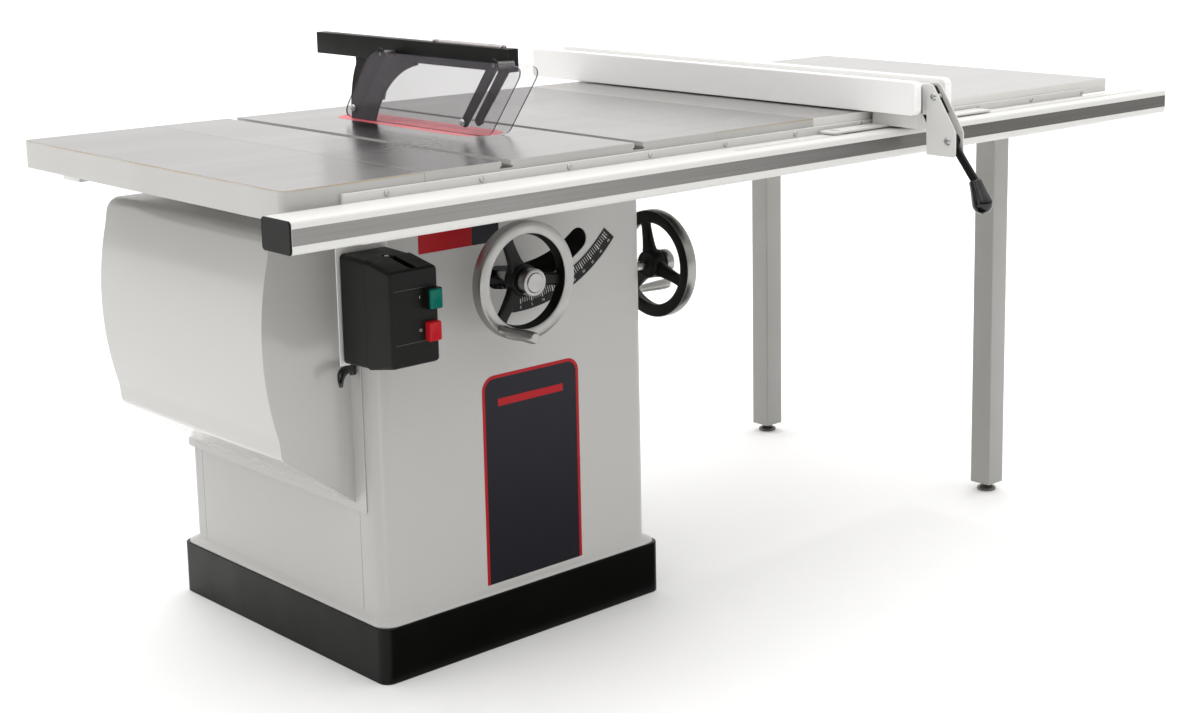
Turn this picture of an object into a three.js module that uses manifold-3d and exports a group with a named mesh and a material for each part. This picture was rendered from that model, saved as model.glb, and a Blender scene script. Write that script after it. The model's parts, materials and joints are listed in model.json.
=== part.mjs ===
// Cabinet table saw: cast tables on a steel cabinet, tilting arbor, T-square fence and blade guard.
// Units are millimetres, +Z is up, +X runs right along the front rail, +Y runs to the rear.
// The origin is on the floor, at the centre of the plinth.
import * as THREE from 'three';
import { mergeVertices } from 'three/addons/utils/BufferGeometryUtils.js';
import Module from 'manifold-3d';

const wasm = await Module();
wasm.setup();

// ---- Driving dimensions ------------------------------------------------------------------
const GAP = 0.3; // between pieces that touch
const TOP = 864; // height of the working surface
const TABLE_FRONT = -476;
const TABLE_REAR = 324;
const MAIN_LEFT = -305;
const MAIN_RIGHT = 303;
const WING_LEFT = -551;
const WING_RIGHT = 549;
const EXTENSION_RIGHT = 1466;
const TABLE_EDGE = 46; // height of the cast tables' outer edge
const TABLE_PLATE = 18; // thickness of the cast top
const BOARD = 28; // thickness of the extension table

const CAB_X = 289.5; // half width of the cabinet
const CAB_Y = 304.5; // half depth of the cabinet
const CAB_R = 28;
const PLINTH_X = 305.5;
const PLINTH_Y = 319.5;
const PLINTH_H = 95;
const SHEET = 2.5;

const BLADE_R = 152.4;
const ARBOR_Y = -75;
const ARBOR_Z = 707.6; // blade fully lowered
const PIVOT_Y = 118.8; // raising arm's hinge line
const PIVOT_Z = 757.1;
const MOTOR_Y = 60;
const MOTOR_Z = 545;
const MOTOR_R = 97;
const ARBOR_PULLEY_R = 33;
const MOTOR_PULLEY_R = 38.3;
const PIVOT_SHAFT_R = 12;
const ARBOR_R = 12;
const MOTOR_SHAFT_R = 12;
const FLANGE_R = 25; // arbor flange and its loose washer
const BLADE_HALF = 1.3;
const BLADE_TEETH = 32;
const BELT_XS = [-98, -82.5, -67];

const MODULE = 3; // both worm drives
const WORM_R = 16;
const TILT_GEAR_R = 252; // 168 teeth to a full circle
const HEIGHT_GEAR_R = 97.5; // 65 teeth to a full circle
const WORM_Y = -252; // tilt worm and its gear rim
const TILT_SHAFT_Z = TOP - TILT_GEAR_R - WORM_R;
const HEIGHT_SHAFT_X = -40.5;
const HEIGHT_SHAFT_Z = PIVOT_Z - HEIGHT_GEAR_R - WORM_R;
const TRUNNION = { r0: 150, r1: 175, from: -60, to: 22 }; // the cradle's curved ribs, degrees from down
const SHOES = [-14, 16]; // the part of that arc which the brackets hold

const WHEEL_R = 99;
const WHEEL_FRONT_Y = -374.5; // middle of the front handwheel's rim
const WHEEL_SIDE_X = 365; // middle of the side handwheel's rim
const RIM = { deep: 20, half: 10.5 }; // of both handwheels

const RAIL_LEFT = -592;
const RAIL_RIGHT = 1568;
const RAIL_FRONT = -558;
const RAIL_BACK = -485;
const RAIL_LOW = 788;
const RAIL_HIGH = 836;
const ANGLE_LEFT = -455;
const ANGLE_RIGHT = 1370;
const ANGLE_TOP = 849;
const ANGLE_T = 6.5;
const BOLT_FIRST = -379; // screws along the rail angles
const BOLT_PITCH = 174.7;

const FENCE_X = 729.5; // middle of the fence
const FENCE_HALF = 52.5;
const FENCE_FRONT = -605;
const FENCE_REAR = 470;
const FENCE_LOW = 866;
const FENCE_HIGH = 927;
const FACE_T = 19;

const LEG_X = 1194.5;
const LEG_SIZE = 49;
const LEG_YS = { front: -386, rear: 263 };
const LEG_LOW = 17.6;

// Guard: side view points are (y, z), on the blade's plane. A shield hangs on links from pivots on the bar.
const GUARD_BAR = { y0: -312, y1: 250, z0: 978, z1: 1016.5, half: 10.8 };
const SPLITTER_HALF = 1.5;
const LINK = { y: 82, z: -100 }; // from a link's upper pivot to its lower one
const SIDES = {
  left: { out: -1, x: -43.7, front: -310.5, rear: 7, z: 992, shiftY: 0, shiftZ: 0 },
  right: { out: 1, x: 34.7, front: -256, rear: 61.5, z: 983, shiftY: 52, shiftZ: -9 },
};
const PIN_R = 3.5;
const PAWL = { y: 96, z: 925, reach: 50 };

// Openings and small parts
const DUST = { x: 60, z: 190, r: 50, flange: 70 }; // dust outlet on the lower rear of the cabinet
const INSERT = { x0: -22, x1: 65, y0: -225, y1: 205, t: 6 };
const MITER_XS = [-150.7, 125.5];
const MITER = { width: 19, depth: 11.5, tWidth: 25, tHeight: 3.6 };
const SWITCH = { x0: -352, x1: -261.5, z0: 549, z1: 724, back: -311, part: -376, face: -440 };
const COLLAR = { half: 12.5, tall: 16.4, out: 13 }; // guard round the start button
const BUTTONS = {
  start_button: { x: -276.5, z: 663.3, half: 11.3, tall: 15.2, out: 16.5 },
  stop_button: { x: -276.5, z: 611.5, half: 11.2, tall: 15.2, out: 11.5 },
};
const COVER = { front: -235, rear: 282, low: 290, top: 755, sheet: 2, rim: 30 }; // motor cover
const HINGE_Y = 303.5; // motor cover's hinge barrel
const HINGE_R = 4.5;
const SHAFT_R = 8;
const CRANK = { r: 91, angle: 233, grip: 94.5 };
const SPOKES = [113, 233, 353];
const LEVER = { y: -650, z: 821 };
const PLATE_T = 3;
const PLATE_XS = [-15, 7]; // left faces of the clamp's side plates, from the fence's middle

// ---- Materials ----------------------------------------------------------------------------
const finish = (color, roughness, metalness) => ({ color, roughness, metalness });
const PAINT = finish(0xd2d2cc, 0.35, 0);
const GREY_PAINT = finish(0xb4b4ae, 0.4, 0);
const BLACK_PAINT = finish(0x151515, 0.4, 0);
const CAST = finish(0xa5a09c, 0.35, 0.8);
const RAW_IRON = finish(0x55555a, 0.6, 0.5);
const STEEL = finish(0xb8b8b8, 0.25, 1);
const PLASTIC = finish(0x18181a, 0.45, 0);
const RED = finish(0xd0303c, 0.3, 0);
const GREEN = finish(0x00805f, 0.35, 0);
const POLY = finish(0xf2efee, 0.35, 0);
const RUBBER = finish(0x202020, 0.8, 0);
const CLEAR = finish(0xcfcfe0, 0.05, 0);
const BUTTON_LOOKS = { start_button: GREEN, stop_button: RED };

// ---- Helpers ------------------------------------------------------------------------------
const rad = THREE.MathUtils.degToRad;
const saw = new THREE.Group();

// A closed geometry becomes a solid that can be joined and cut.
function solid(geometry) {
  const bare = geometry.clone();
  bare.deleteAttribute('normal');
  bare.deleteAttribute('uv');
  const merged = mergeVertices(bare, 1e-4);
  return new wasm.Manifold(new wasm.Mesh({
    numProp: 3,
    vertProperties: new Float32Array(merged.attributes.position.array),
    triVerts: new Uint32Array(merged.index.array),
  }));
}

// A solid goes into a group as a named mesh.
function add(name, body, look, parent = saw) {
  const raw = body.getMesh();
  const geometry = new THREE.BufferGeometry();
  geometry.setAttribute('position', new THREE.BufferAttribute(raw.vertProperties, 3));
  geometry.setIndex(new THREE.BufferAttribute(raw.triVerts, 1));
  geometry.computeVertexNormals();
  const mesh = new THREE.Mesh(geometry, new THREE.MeshStandardMaterial(look));
  mesh.name = name;
  parent.add(mesh);
  return mesh;
}

function join(...bodies) {
  return bodies.reduce((whole, body) => whole.add(body));
}

function cut(body, ...tools) {
  return tools.reduce((whole, tool) => whole.subtract(tool), body);
}

// Geometry drawn in (u, v) with its depth along w, turned so that w lies along the axis.
// x: (u, v) = (y, z).  y: (u, v) = (x, z).  z: (u, v) = (x, y).
function turned(geometry, axis) {
  if (axis === 'x') {
    geometry.applyMatrix4(new THREE.Matrix4().set(0, 0, 1, 0, 1, 0, 0, 0, 0, 1, 0, 0, 0, 0, 0, 1));
  }
  if (axis === 'y') {
    geometry.rotateX(Math.PI / 2);
  }
  return geometry;
}

function block(x0, x1, y0, y1, z0, z1) {
  const box = new THREE.BoxGeometry(x1 - x0, y1 - y0, z1 - z0);
  box.translate((x0 + x1) / 2, (y0 + y1) / 2, (z0 + z1) / 2);
  return solid(box);
}

// A flat outline given depth from low to high along an axis.
function slab(shape, axis, low, high, curveSegments = 2) {
  const geometry = new THREE.ExtrudeGeometry(shape, {
    depth: high - low,
    bevelEnabled: false,
    curveSegments,
  });
  geometry.translate(0, 0, axis === 'y' ? -high : low);
  return solid(turned(geometry, axis));
}

function outline(points) {
  return new THREE.Shape(points.map(([u, v]) => new THREE.Vector2(u, v)));
}

function roundedRect(u0, u1, v0, v1, r) {
  const shape = new THREE.Shape();
  shape.absarc(u1 - r, v0 + r, r, -Math.PI / 2, 0);
  shape.absarc(u1 - r, v1 - r, r, 0, Math.PI / 2);
  shape.absarc(u0 + r, v1 - r, r, Math.PI / 2, Math.PI);
  shape.absarc(u0 + r, v0 + r, r, Math.PI, Math.PI * 1.5);
  return shape;
}

// A bar from a to b whose round ends have different radii.
function taperedLink(a, ra, b, rb) {
  const along = Math.atan2(b[1] - a[1], b[0] - a[0]);
  const side = Math.acos((ra - rb) / Math.hypot(b[0] - a[0], b[1] - a[1]));
  const shape = new THREE.Shape();
  shape.absarc(b[0], b[1], rb, along - side, along + side);
  shape.absarc(a[0], a[1], ra, along + side, along + 2 * Math.PI - side);
  return shape;
}

// A bar with round ends from a to b.
function link(a, b, r) {
  return taperedLink(a, r, b, r);
}

// A round rod along an axis through (u, v), from low to high.
function rod(axis, u, v, low, high, r, segments = 14) {
  const geometry = new THREE.CylinderGeometry(r, r, high - low, segments);
  geometry.rotateX(Math.PI / 2);
  geometry.translate(u, v, axis === 'y' ? -(low + high) / 2 : (low + high) / 2);
  return solid(turned(geometry, axis));
}

// A turned shape: the profile is a closed list of (radius, height), height runs along the axis.
function lathe(axis, u, v, profile, segments = 18) {
  const points = profile.map(([r, h]) => new THREE.Vector2(r, axis === 'y' ? -h : h));
  const ordered = axis === 'y' ? points.reverse() : points;
  const geometry = new THREE.LatheGeometry(ordered, segments);
  geometry.rotateX(Math.PI / 2);
  geometry.translate(u, v, 0);
  return solid(turned(geometry, axis));
}

// A skin over rings of points that all have the same count; each ring is (outline, height).
function loft(axis, rings) {
  const count = rings[0][0].length;
  const last = rings.length - 1;
  const flip = axis === 'y' ? -1 : 1;
  const position = [];
  for (const [ring, height] of rings) {
    for (const p of ring) position.push(p.x, p.y, height * flip);
  }
  for (const k of [0, last]) {
    const [ring, height] = rings[k];
    const mid = ring.reduce((sum, p) => sum.add(p), new THREE.Vector2()).divideScalar(count);
    position.push(mid.x, mid.y, height * flip);
  }
  const index = [];
  const face = (a, b, c) => (flip > 0 ? index.push(a, b, c) : index.push(a, c, b));
  const middle = rings.length * count;
  for (let i = 0; i < count; i += 1) {
    const j = (i + 1) % count;
    for (let k = 0; k < last; k += 1) {
      face(k * count + i, k * count + j, (k + 1) * count + j);
      face(k * count + i, (k + 1) * count + j, (k + 1) * count + i);
    }
    face(middle, j, i);
    face(middle + 1, last * count + i, last * count + j);
  }
  const geometry = new THREE.BufferGeometry();
  geometry.setAttribute('position', new THREE.Float32BufferAttribute(position, 3));
  geometry.setIndex(index);
  return solid(turned(geometry, axis));
}

// A point at an angle from straight down, towards +X, about the tilt axis.
function fromTilt(r, degrees) {
  return [r * Math.sin(rad(degrees)), TOP - r * Math.cos(rad(degrees))];
}

// A ring sector about the tilt axis, in (x, z), between two radii and two angles from straight down.
function tiltSector(r0, r1, from, to) {
  const shape = new THREE.Shape();
  shape.absarc(0, TOP, r1, rad(from - 90), rad(to - 90), false);
  shape.absarc(0, TOP, r0, rad(to - 90), rad(from - 90), true);
  return shape;
}

// Worm wheel sector about (u, v), from one angle to another, with a tooth gap straight down.
function gearSector(u, v, pitchR, innerR, from, to) {
  const teeth = Math.round((2 * pitchR) / MODULE);
  const step = 360 / teeth;
  const rootR = pitchR - 1.08 * MODULE;
  const tipR = pitchR + 0.86 * MODULE;
  const halfRoot = 0.27 * step;
  const halfTip = 0.12 * step;
  const at = (r, a) => [u + r * Math.sin(rad(a)), v - r * Math.cos(rad(a))];
  const points = [at(innerR, from), at(rootR, from)];
  for (let k = Math.ceil(from / step); (k + 0.5) * step + halfRoot < to; k += 1) {
    const mid = (k + 0.5) * step;
    if (mid - halfRoot > from) {
      points.push(at(rootR, mid - halfRoot), at(tipR, mid - halfTip));
      points.push(at(tipR, mid + halfTip), at(rootR, mid + halfRoot));
    }
  }
  points.push(at(rootR, to));
  const arcSteps = Math.ceil((to - from) / 8);
  for (let k = 0; k <= arcSteps; k += 1) points.push(at(innerR, to + ((from - to) * k) / arcSteps));
  return outline(points.slice(0, -1));
}

// Right-hand worm thread about the Z axis; at the +X side it passes through z = 0.
function wormThread(turns, segments = 10) {
  const lead = Math.PI * MODULE;
  const profile = [[-0.27, -1.7], [-0.12, 0.86], [0.12, 0.86], [0.27, -1.7]];
  const steps = turns * segments;
  const position = [];
  for (let i = 0; i <= steps; i += 1) {
    const a = ((i - steps / 2) / segments) * Math.PI * 2;
    const z = (lead * a) / (Math.PI * 2);
    for (const [along, out] of profile) {
      const r = WORM_R + out * MODULE;
      position.push(r * Math.cos(a), r * Math.sin(a), z + along * lead);
    }
  }
  const index = [0, 1, 2, 0, 2, 3];
  for (let i = 0; i < steps; i += 1) {
    for (let k = 0; k < 4; k += 1) {
      const a = i * 4 + k;
      const b = i * 4 + ((k + 1) % 4);
      index.push(a, a + 4, b + 4, a, b + 4, b);
    }
  }
  const e = steps * 4;
  index.push(e, e + 2, e + 1, e, e + 3, e + 2);
  const geometry = new THREE.BufferGeometry();
  geometry.setAttribute('position', new THREE.Float32BufferAttribute(position, 3));
  geometry.setIndex(index);
  return geometry;
}

// ---- Plinth and cabinet -------------------------------------------------------------------
function makePlinth() {
  const wall = 4;
  const lip = 40;
  const ring = (inset, r) => roundedRect(
    inset - PLINTH_X, PLINTH_X - inset, inset - PLINTH_Y, PLINTH_Y - inset, r);
  const outer = slab(ring(0, 20), 'z', 0, PLINTH_H);
  const inner = slab(ring(wall, 16), 'z', wall, PLINTH_H - wall);
  const well = slab(ring(lip, 10), 'z', wall, PLINTH_H + 1);
  add('plinth', cut(outer, inner, well), BLACK_PAINT);
}

function makeCabinet() {
  const low = PLINTH_H + GAP;
  const high = TOP - TABLE_PLATE - GAP;
  const walls = slab(roundedRect(-CAB_X, CAB_X, -CAB_Y, CAB_Y, CAB_R), 'z', low, high);
  const skirtRing = (grow) => {
    const reach = roundedRect(-CAB_X - grow, CAB_X + grow, -CAB_Y - grow, CAB_Y + grow, CAB_R);
    return reach.getPoints(2);
  };
  const skirt = loft('z', [[skirtRing(13), low], [skirtRing(13), low + 2], [skirtRing(0), low + 11]]);
  const w = SHEET;
  const room = slab(
    roundedRect(w - CAB_X, CAB_X - w, w - CAB_Y, CAB_Y - w, CAB_R - w), 'z', low + w, high - 3);
  const lip = 14;
  const mouth = slab(
    roundedRect(lip - CAB_X, CAB_X - lip, lip - CAB_Y, CAB_Y - lip, lip), 'z', low + 9, high + 1);
  const well = 40;
  const floor = slab(
    roundedRect(well - CAB_X, CAB_X - well, well - CAB_Y, CAB_Y - well, lip), 'z', low - 1, low + 9);
  const motorHole = slab(roundedRect(-215, 265, 300, 735, 20), 'x', -CAB_X - 5, -CAB_X + 10);
  const wheelHole = rod('x', WORM_Y, TILT_SHAFT_Z, CAB_X - 10, CAB_X + 5, 13);
  const dustHole = rod('y', DUST.x, DUST.z, CAB_Y - 10, CAB_Y + 5, DUST.r - 6, 20);
  const slot = slab(arcSlot(), 'y', -CAB_Y - 5, -CAB_Y + 10, 5);
  const body = cut(walls.add(skirt), room, mouth, floor, motorHole, wheelHole, dustHole, slot);
  add('cabinet_shell', body, PAINT);
}

// Slot in the cabinet front that the height shaft sweeps along as the blade tilts.
function arcSlot() {
  const middle = 229;
  const half = 20;
  const ends = [-10.6, 36.3];
  const shape = new THREE.Shape();
  shape.absarc(0, TOP, middle + half, rad(ends[0] - 90), rad(ends[1] - 90), false);
  const b = fromTilt(middle, ends[1]);
  shape.absarc(b[0], b[1], half, rad(ends[1] - 90), rad(ends[1] + 90), false);
  shape.absarc(0, TOP, middle - half, rad(ends[1] - 90), rad(ends[0] - 90), true);
  const a = fromTilt(middle, ends[0]);
  shape.absarc(a[0], a[1], half, rad(ends[0] + 90), rad(ends[0] + 270), false);
  return shape;
}

function makeTiltScale() {
  const plate = slab(tiltSector(262, 290.5, -2.4, 48.6), 'y', -CAB_Y - GAP - 1.2, -CAB_Y - GAP, 6);
  add('tilt_scale_plate', plate, BLACK_PAINT);
}

function makeDustPort() {
  const y = CAB_Y + GAP;
  const { x, z, r, flange } = DUST;
  const length = 55;
  const wall = 3;
  const plate = slab(roundedRect(x - flange, x + flange, z - flange, z + flange, 12), 'y', y, y + wall);
  const collar = rod('y', x, z, y, y + length, r, 24);
  const bore = rod('y', x, z, y - 1, y + length + 1, r - wall, 24);
  add('dust_port', cut(plate.add(collar), bore), BLACK_PAINT);
}

// ---- Motor cover and latch ----------------------------------------------------------------
function coverProfile(inset) {
  const shape = new THREE.Shape();
  const x0 = -CAB_X - GAP;
  const mid = { x: 98.9, z: 578.3, r: 549.4 - inset };
  const top = COVER.top - inset;
  shape.moveTo(x0, top);
  shape.lineTo(-404, top);
  shape.absarc(-404, top - 27 + inset, 27 - inset, Math.PI / 2, rad(165), false);
  shape.absarc(mid.x, mid.z, mid.r, rad(164.9), rad(197.2), false);
  shape.absarc(-402 + inset * 0.2, 405, 25 - inset, rad(197), rad(245), false);
  shape.lineTo(x0, COVER.low + inset);
  return shape;
}

function makeMotorCover() {
  const { front, rear, low, top, sheet, rim } = COVER;
  const x = -CAB_X - GAP; // the cabinet side that the flanges lie on
  const edges = { front: front - rim, rear: HINGE_Y - 3.5, low: low - 12, top: top + 7 };
  const flange = (y0, y1, z0, z1) => block(x - sheet, x, y0, y1, z0, z1);
  const whole = join(
    slab(coverProfile(0), 'y', front, rear, 4),
    flange(edges.front, front + sheet, edges.low, edges.top),
    flange(rear - sheet, edges.rear, edges.low, edges.top),
    flange(edges.front, edges.rear, edges.low, low + 3),
    flange(edges.front, edges.rear, top - 5, edges.top),
    rod('z', x - HINGE_R, HINGE_Y, low + 10, top - 15, HINGE_R, 12),
  );
  const room = slab(coverProfile(sheet), 'y', front + sheet, rear - sheet, 4);
  const mouth = block(x - sheet - 1, x + 1, front + sheet, rear - sheet, low + 3, top - 5);
  add('motor_cover', cut(whole, room, mouth), GREY_PAINT);
}

function makeCoverLatch() {
  const root = [-297, -254];
  const bend = [-318, -260];
  const thick = 4; // half the finger's thickness
  const finger = slab(link(root, bend, thick), 'z', 500, 530, 2);
  const tip = loft('z', [
    [link(bend, [-334, -274], thick).getPoints(2), 496],
    [link(bend, [-334, -270], thick).getPoints(2), 526],
  ]);
  add('cover_latch', finger.add(tip), PLASTIC);
}

// ---- Tables -------------------------------------------------------------------------------
function castTable(x0, x1, plate, rim) {
  const low = TOP - TABLE_EDGE;
  const whole = block(x0, x1, TABLE_FRONT, TABLE_REAR, low, TOP);
  return cut(whole, block(x0 + rim, x1 - rim, TABLE_FRONT + rim, TABLE_REAR - rim, low - 1, TOP - plate));
}

function stadium(x0, x1, y0, y1) {
  const r = (x1 - x0) / 2;
  const x = (x0 + x1) / 2;
  const shape = new THREE.Shape();
  shape.absarc(x, y1 - r, r, 0, Math.PI, false);
  shape.absarc(x, y0 + r, r, Math.PI, 2 * Math.PI, false);
  return shape;
}

function makeTables() {
  const opening = (grow, low, high) => slab(
    stadium(INSERT.x0 - grow, INSERT.x1 + grow, INSERT.y0 - grow, INSERT.y1 + grow), 'z', low, high, 6);
  const ledge = 4; // what the insert rests on
  const under = TOP - INSERT.t;
  let main = cut(
    castTable(MAIN_LEFT, MAIN_RIGHT, TABLE_PLATE, 12),
    opening(GAP, under - GAP, TOP + 1),
    opening(-ledge, under - 20, TOP),
    block(-6, 25, INSERT.y0 + 2, -150, under - 20, under), // room for the blade's front edge
  );
  for (const x of MITER_XS) {
    const low = TOP - MITER.depth;
    const y0 = TABLE_FRONT - 1;
    const y1 = TABLE_REAR + 1;
    main = cut(
      main,
      block(x - MITER.width / 2, x + MITER.width / 2, y0, y1, low, TOP + 1),
      block(x - MITER.tWidth / 2, x + MITER.tWidth / 2, y0, y1, low, low + MITER.tHeight),
    );
  }
  for (const x of [-225, -75, 75, 225]) {
    main = main.add(block(x - 5, x + 5, TABLE_FRONT + 1, -CAB_Y - 20, TOP - 40, TOP - TABLE_PLATE + 1));
  }
  add('main_table', main, CAST);
  const wing = (name, x0, x1) => {
    const ribs = block(x0 + 1, x1 - 1, -81, -71, TOP - 38, TOP - 9);
    add(name, castTable(x0, x1, 12, 10).add(ribs), CAST);
  };
  wing('left_wing', WING_LEFT, MAIN_LEFT - GAP);
  wing('right_wing', MAIN_RIGHT + GAP, WING_RIGHT);
  const board = block(WING_RIGHT + GAP, EXTENSION_RIGHT, TABLE_FRONT, TABLE_REAR, TOP - BOARD, TOP);
  add('extension_table', board, GREY_PAINT);
}

function makeInsert() {
  const plate = slab(
    stadium(INSERT.x0, INSERT.x1, INSERT.y0, INSERT.y1), 'z', TOP - INSERT.t, TOP, 6);
  const kerf = outline([[-3, TOP + 1], [-3, TOP - 7], [10, TOP - 7], [3.4, TOP - 0.2], [3.4, TOP + 1]]);
  add('throat_insert', cut(plate, slab(kerf, 'y', -217.6, 162)), RED);
}

// ---- Rails, legs and feet -----------------------------------------------------------------
function makeRails() {
  const w = 3;
  const section = roundedRect(RAIL_FRONT, RAIL_BACK, RAIL_LOW, RAIL_HIGH, 6);
  const bore = roundedRect(RAIL_FRONT + w, RAIL_BACK - w, RAIL_LOW + w, RAIL_HIGH - w, 3.5);
  const tube = slab(section, 'x', RAIL_LEFT + 3, RAIL_RIGHT, 2);
  add('front_rail_tube', tube.subtract(slab(bore, 'x', RAIL_LEFT, RAIL_RIGHT + 1, 1)), PAINT);
  const plug = roundedRect(
    RAIL_FRONT + w + GAP, RAIL_BACK - w - GAP, RAIL_LOW + w + GAP, RAIL_HIGH - w - GAP, 3.2);
  const capFace = slab(section, 'x', RAIL_LEFT, RAIL_LEFT + 2.7, 2);
  add('rail_end_cap', capFace.add(slab(plug, 'x', RAIL_LEFT + 1, RAIL_LEFT + 22, 1)), PLASTIC);

  const front = TABLE_FRONT - GAP;
  const face = front - ANGLE_T;
  const under = RAIL_LOW - GAP;
  const lipY = RAIL_FRONT + 30;
  let angle = slab(outline([
    [front, ANGLE_TOP], [face, ANGLE_TOP], [face, under], [lipY, under], [lipY, under - ANGLE_T],
    [front, under - ANGLE_T],
  ]), 'x', ANGLE_LEFT, ANGLE_RIGHT);
  for (let x = BOLT_FIRST; x < ANGLE_RIGHT; x += BOLT_PITCH) {
    const head = lathe('y', x, ANGLE_TOP - 7, [
      [0, face - 1.8], [3.5, face - 1.8], [5, face + 1], [0, face + 1],
    ], 8);
    angle = angle.add(head);
  }
  add('front_rail_angle', angle, PAINT);

  const back = TABLE_REAR + GAP;
  const shelf = { reach: 60, low: 780 };
  let rearAngle = slab(outline([
    [back, ANGLE_TOP], [back, shelf.low], [back + shelf.reach, shelf.low],
    [back + shelf.reach, shelf.low + ANGLE_T], [back + ANGLE_T, shelf.low + ANGLE_T],
    [back + ANGLE_T, ANGLE_TOP],
  ]), 'x', ANGLE_LEFT, ANGLE_RIGHT);
  for (let x = BOLT_FIRST; x < ANGLE_RIGHT; x += BOLT_PITCH * 2) {
    const bolt = rod('y', x, ANGLE_TOP - 7, back + ANGLE_T - 1, back + ANGLE_T + 4, 6, 6);
    rearAngle = rearAngle.add(bolt);
  }
  add('rear_rail_angle', rearAngle, PAINT);
}

function makeLegs() {
  for (const [place, y] of Object.entries(LEG_YS)) {
    const group = new THREE.Group();
    group.position.set(LEG_X, y, 0);
    saw.add(group);
    const s = LEG_SIZE / 2;
    const high = TOP - BOARD - GAP;
    const tube = slab(roundedRect(-s, s, -s, s, 3), 'z', LEG_LOW, high, 1);
    const room = slab(roundedRect(2 - s, s - 2, 2 - s, s - 2, 1.5), 'z', LEG_LOW + 4, high - 4, 1);
    const hole = rod('z', 0, 0, LEG_LOW - 1, LEG_LOW + 5, 5.8, 16);
    const plate = block(-s - 18, s + 18, -s - 3, s + 3, high - 4, high);
    const body = cut(tube, room).add(plate).subtract(hole);
    add(`leg_${place}`, body, GREY_PAINT, group);
    const foot = lathe('z', 0, 0, [
      [0, 0], [20, 0], [20, 5], [13, 9], [9, 9], [9, 14], [5.4, 14], [5.4, 70], [0, 70],
    ], 14);
    add(`foot_${place}`, foot, RAW_IRON, group);
  }
}

// ---- Switch -------------------------------------------------------------------------------
function switchRing(dx, dz, r) {
  const s = SWITCH;
  return roundedRect(s.x0 + dx, s.x1 - dx, s.z0 + dz, s.z1 - dz, r).getPoints(1);
}

function makeSwitch() {
  const s = SWITCH;
  const sheet = 2.5;
  const back = -CAB_Y - GAP;
  const plate = block(s.x0 - 4, -259, back - sheet, back, s.z0 - 4, 815);
  const shelf = block(s.x0 - 4, -259, TABLE_FRONT + 6, back, 812.5, 815);
  add('switch_hanger', plate.add(shelf), PAINT);

  const base = cut(
    loft('y', [[switchRing(0.5, 3, 6), s.part + GAP], [switchRing(0, 0, 7), s.back]]),
    block(s.x0 + 6, s.x1 - 6, s.part - 5, s.back - 4, s.z0 + 10, s.z1 - 10),
  );
  add('switch_base', base, PLASTIC);
  const skin = loft('y', [
    [switchRing(1.5, 13, 5), s.face],
    [switchRing(0.8, 11.5, 7), s.face + 3],
    [switchRing(0.4, 0.5, 7), s.part],
  ]);
  const start = BUTTONS.start_button;
  const collar = block(
    start.x - COLLAR.half, start.x + COLLAR.half, s.face - COLLAR.out, s.face + 1,
    start.z - COLLAR.tall, start.z + COLLAR.tall);
  const room = block(s.x0 + 6, s.x1 - 6, s.face + 5, s.part + 5, s.z0 + 17, s.z1 - 17);
  let cover = cut(skin.add(collar), room);
  for (const [name, b] of Object.entries(BUTTONS)) {
    const clear = 0.4;
    cover = cover.subtract(block(
      b.x - b.half - clear, b.x + b.half + clear, s.face - COLLAR.out - 1, s.face + 16,
      b.z - b.tall - clear, b.z + b.tall + clear));
    const group = new THREE.Group();
    group.position.set(b.x, s.face, b.z);
    saw.add(group);
    const cap = slab(roundedRect(-b.half, b.half, -b.tall, b.tall, 2), 'y', -b.out, 6, 1);
    add(name, cap.add(rod('y', 0, 0, 5, 18, 4, 12)), BUTTON_LOOKS[name], group);
  }
  add('switch_cover', cover, PLASTIC);
}

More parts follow.
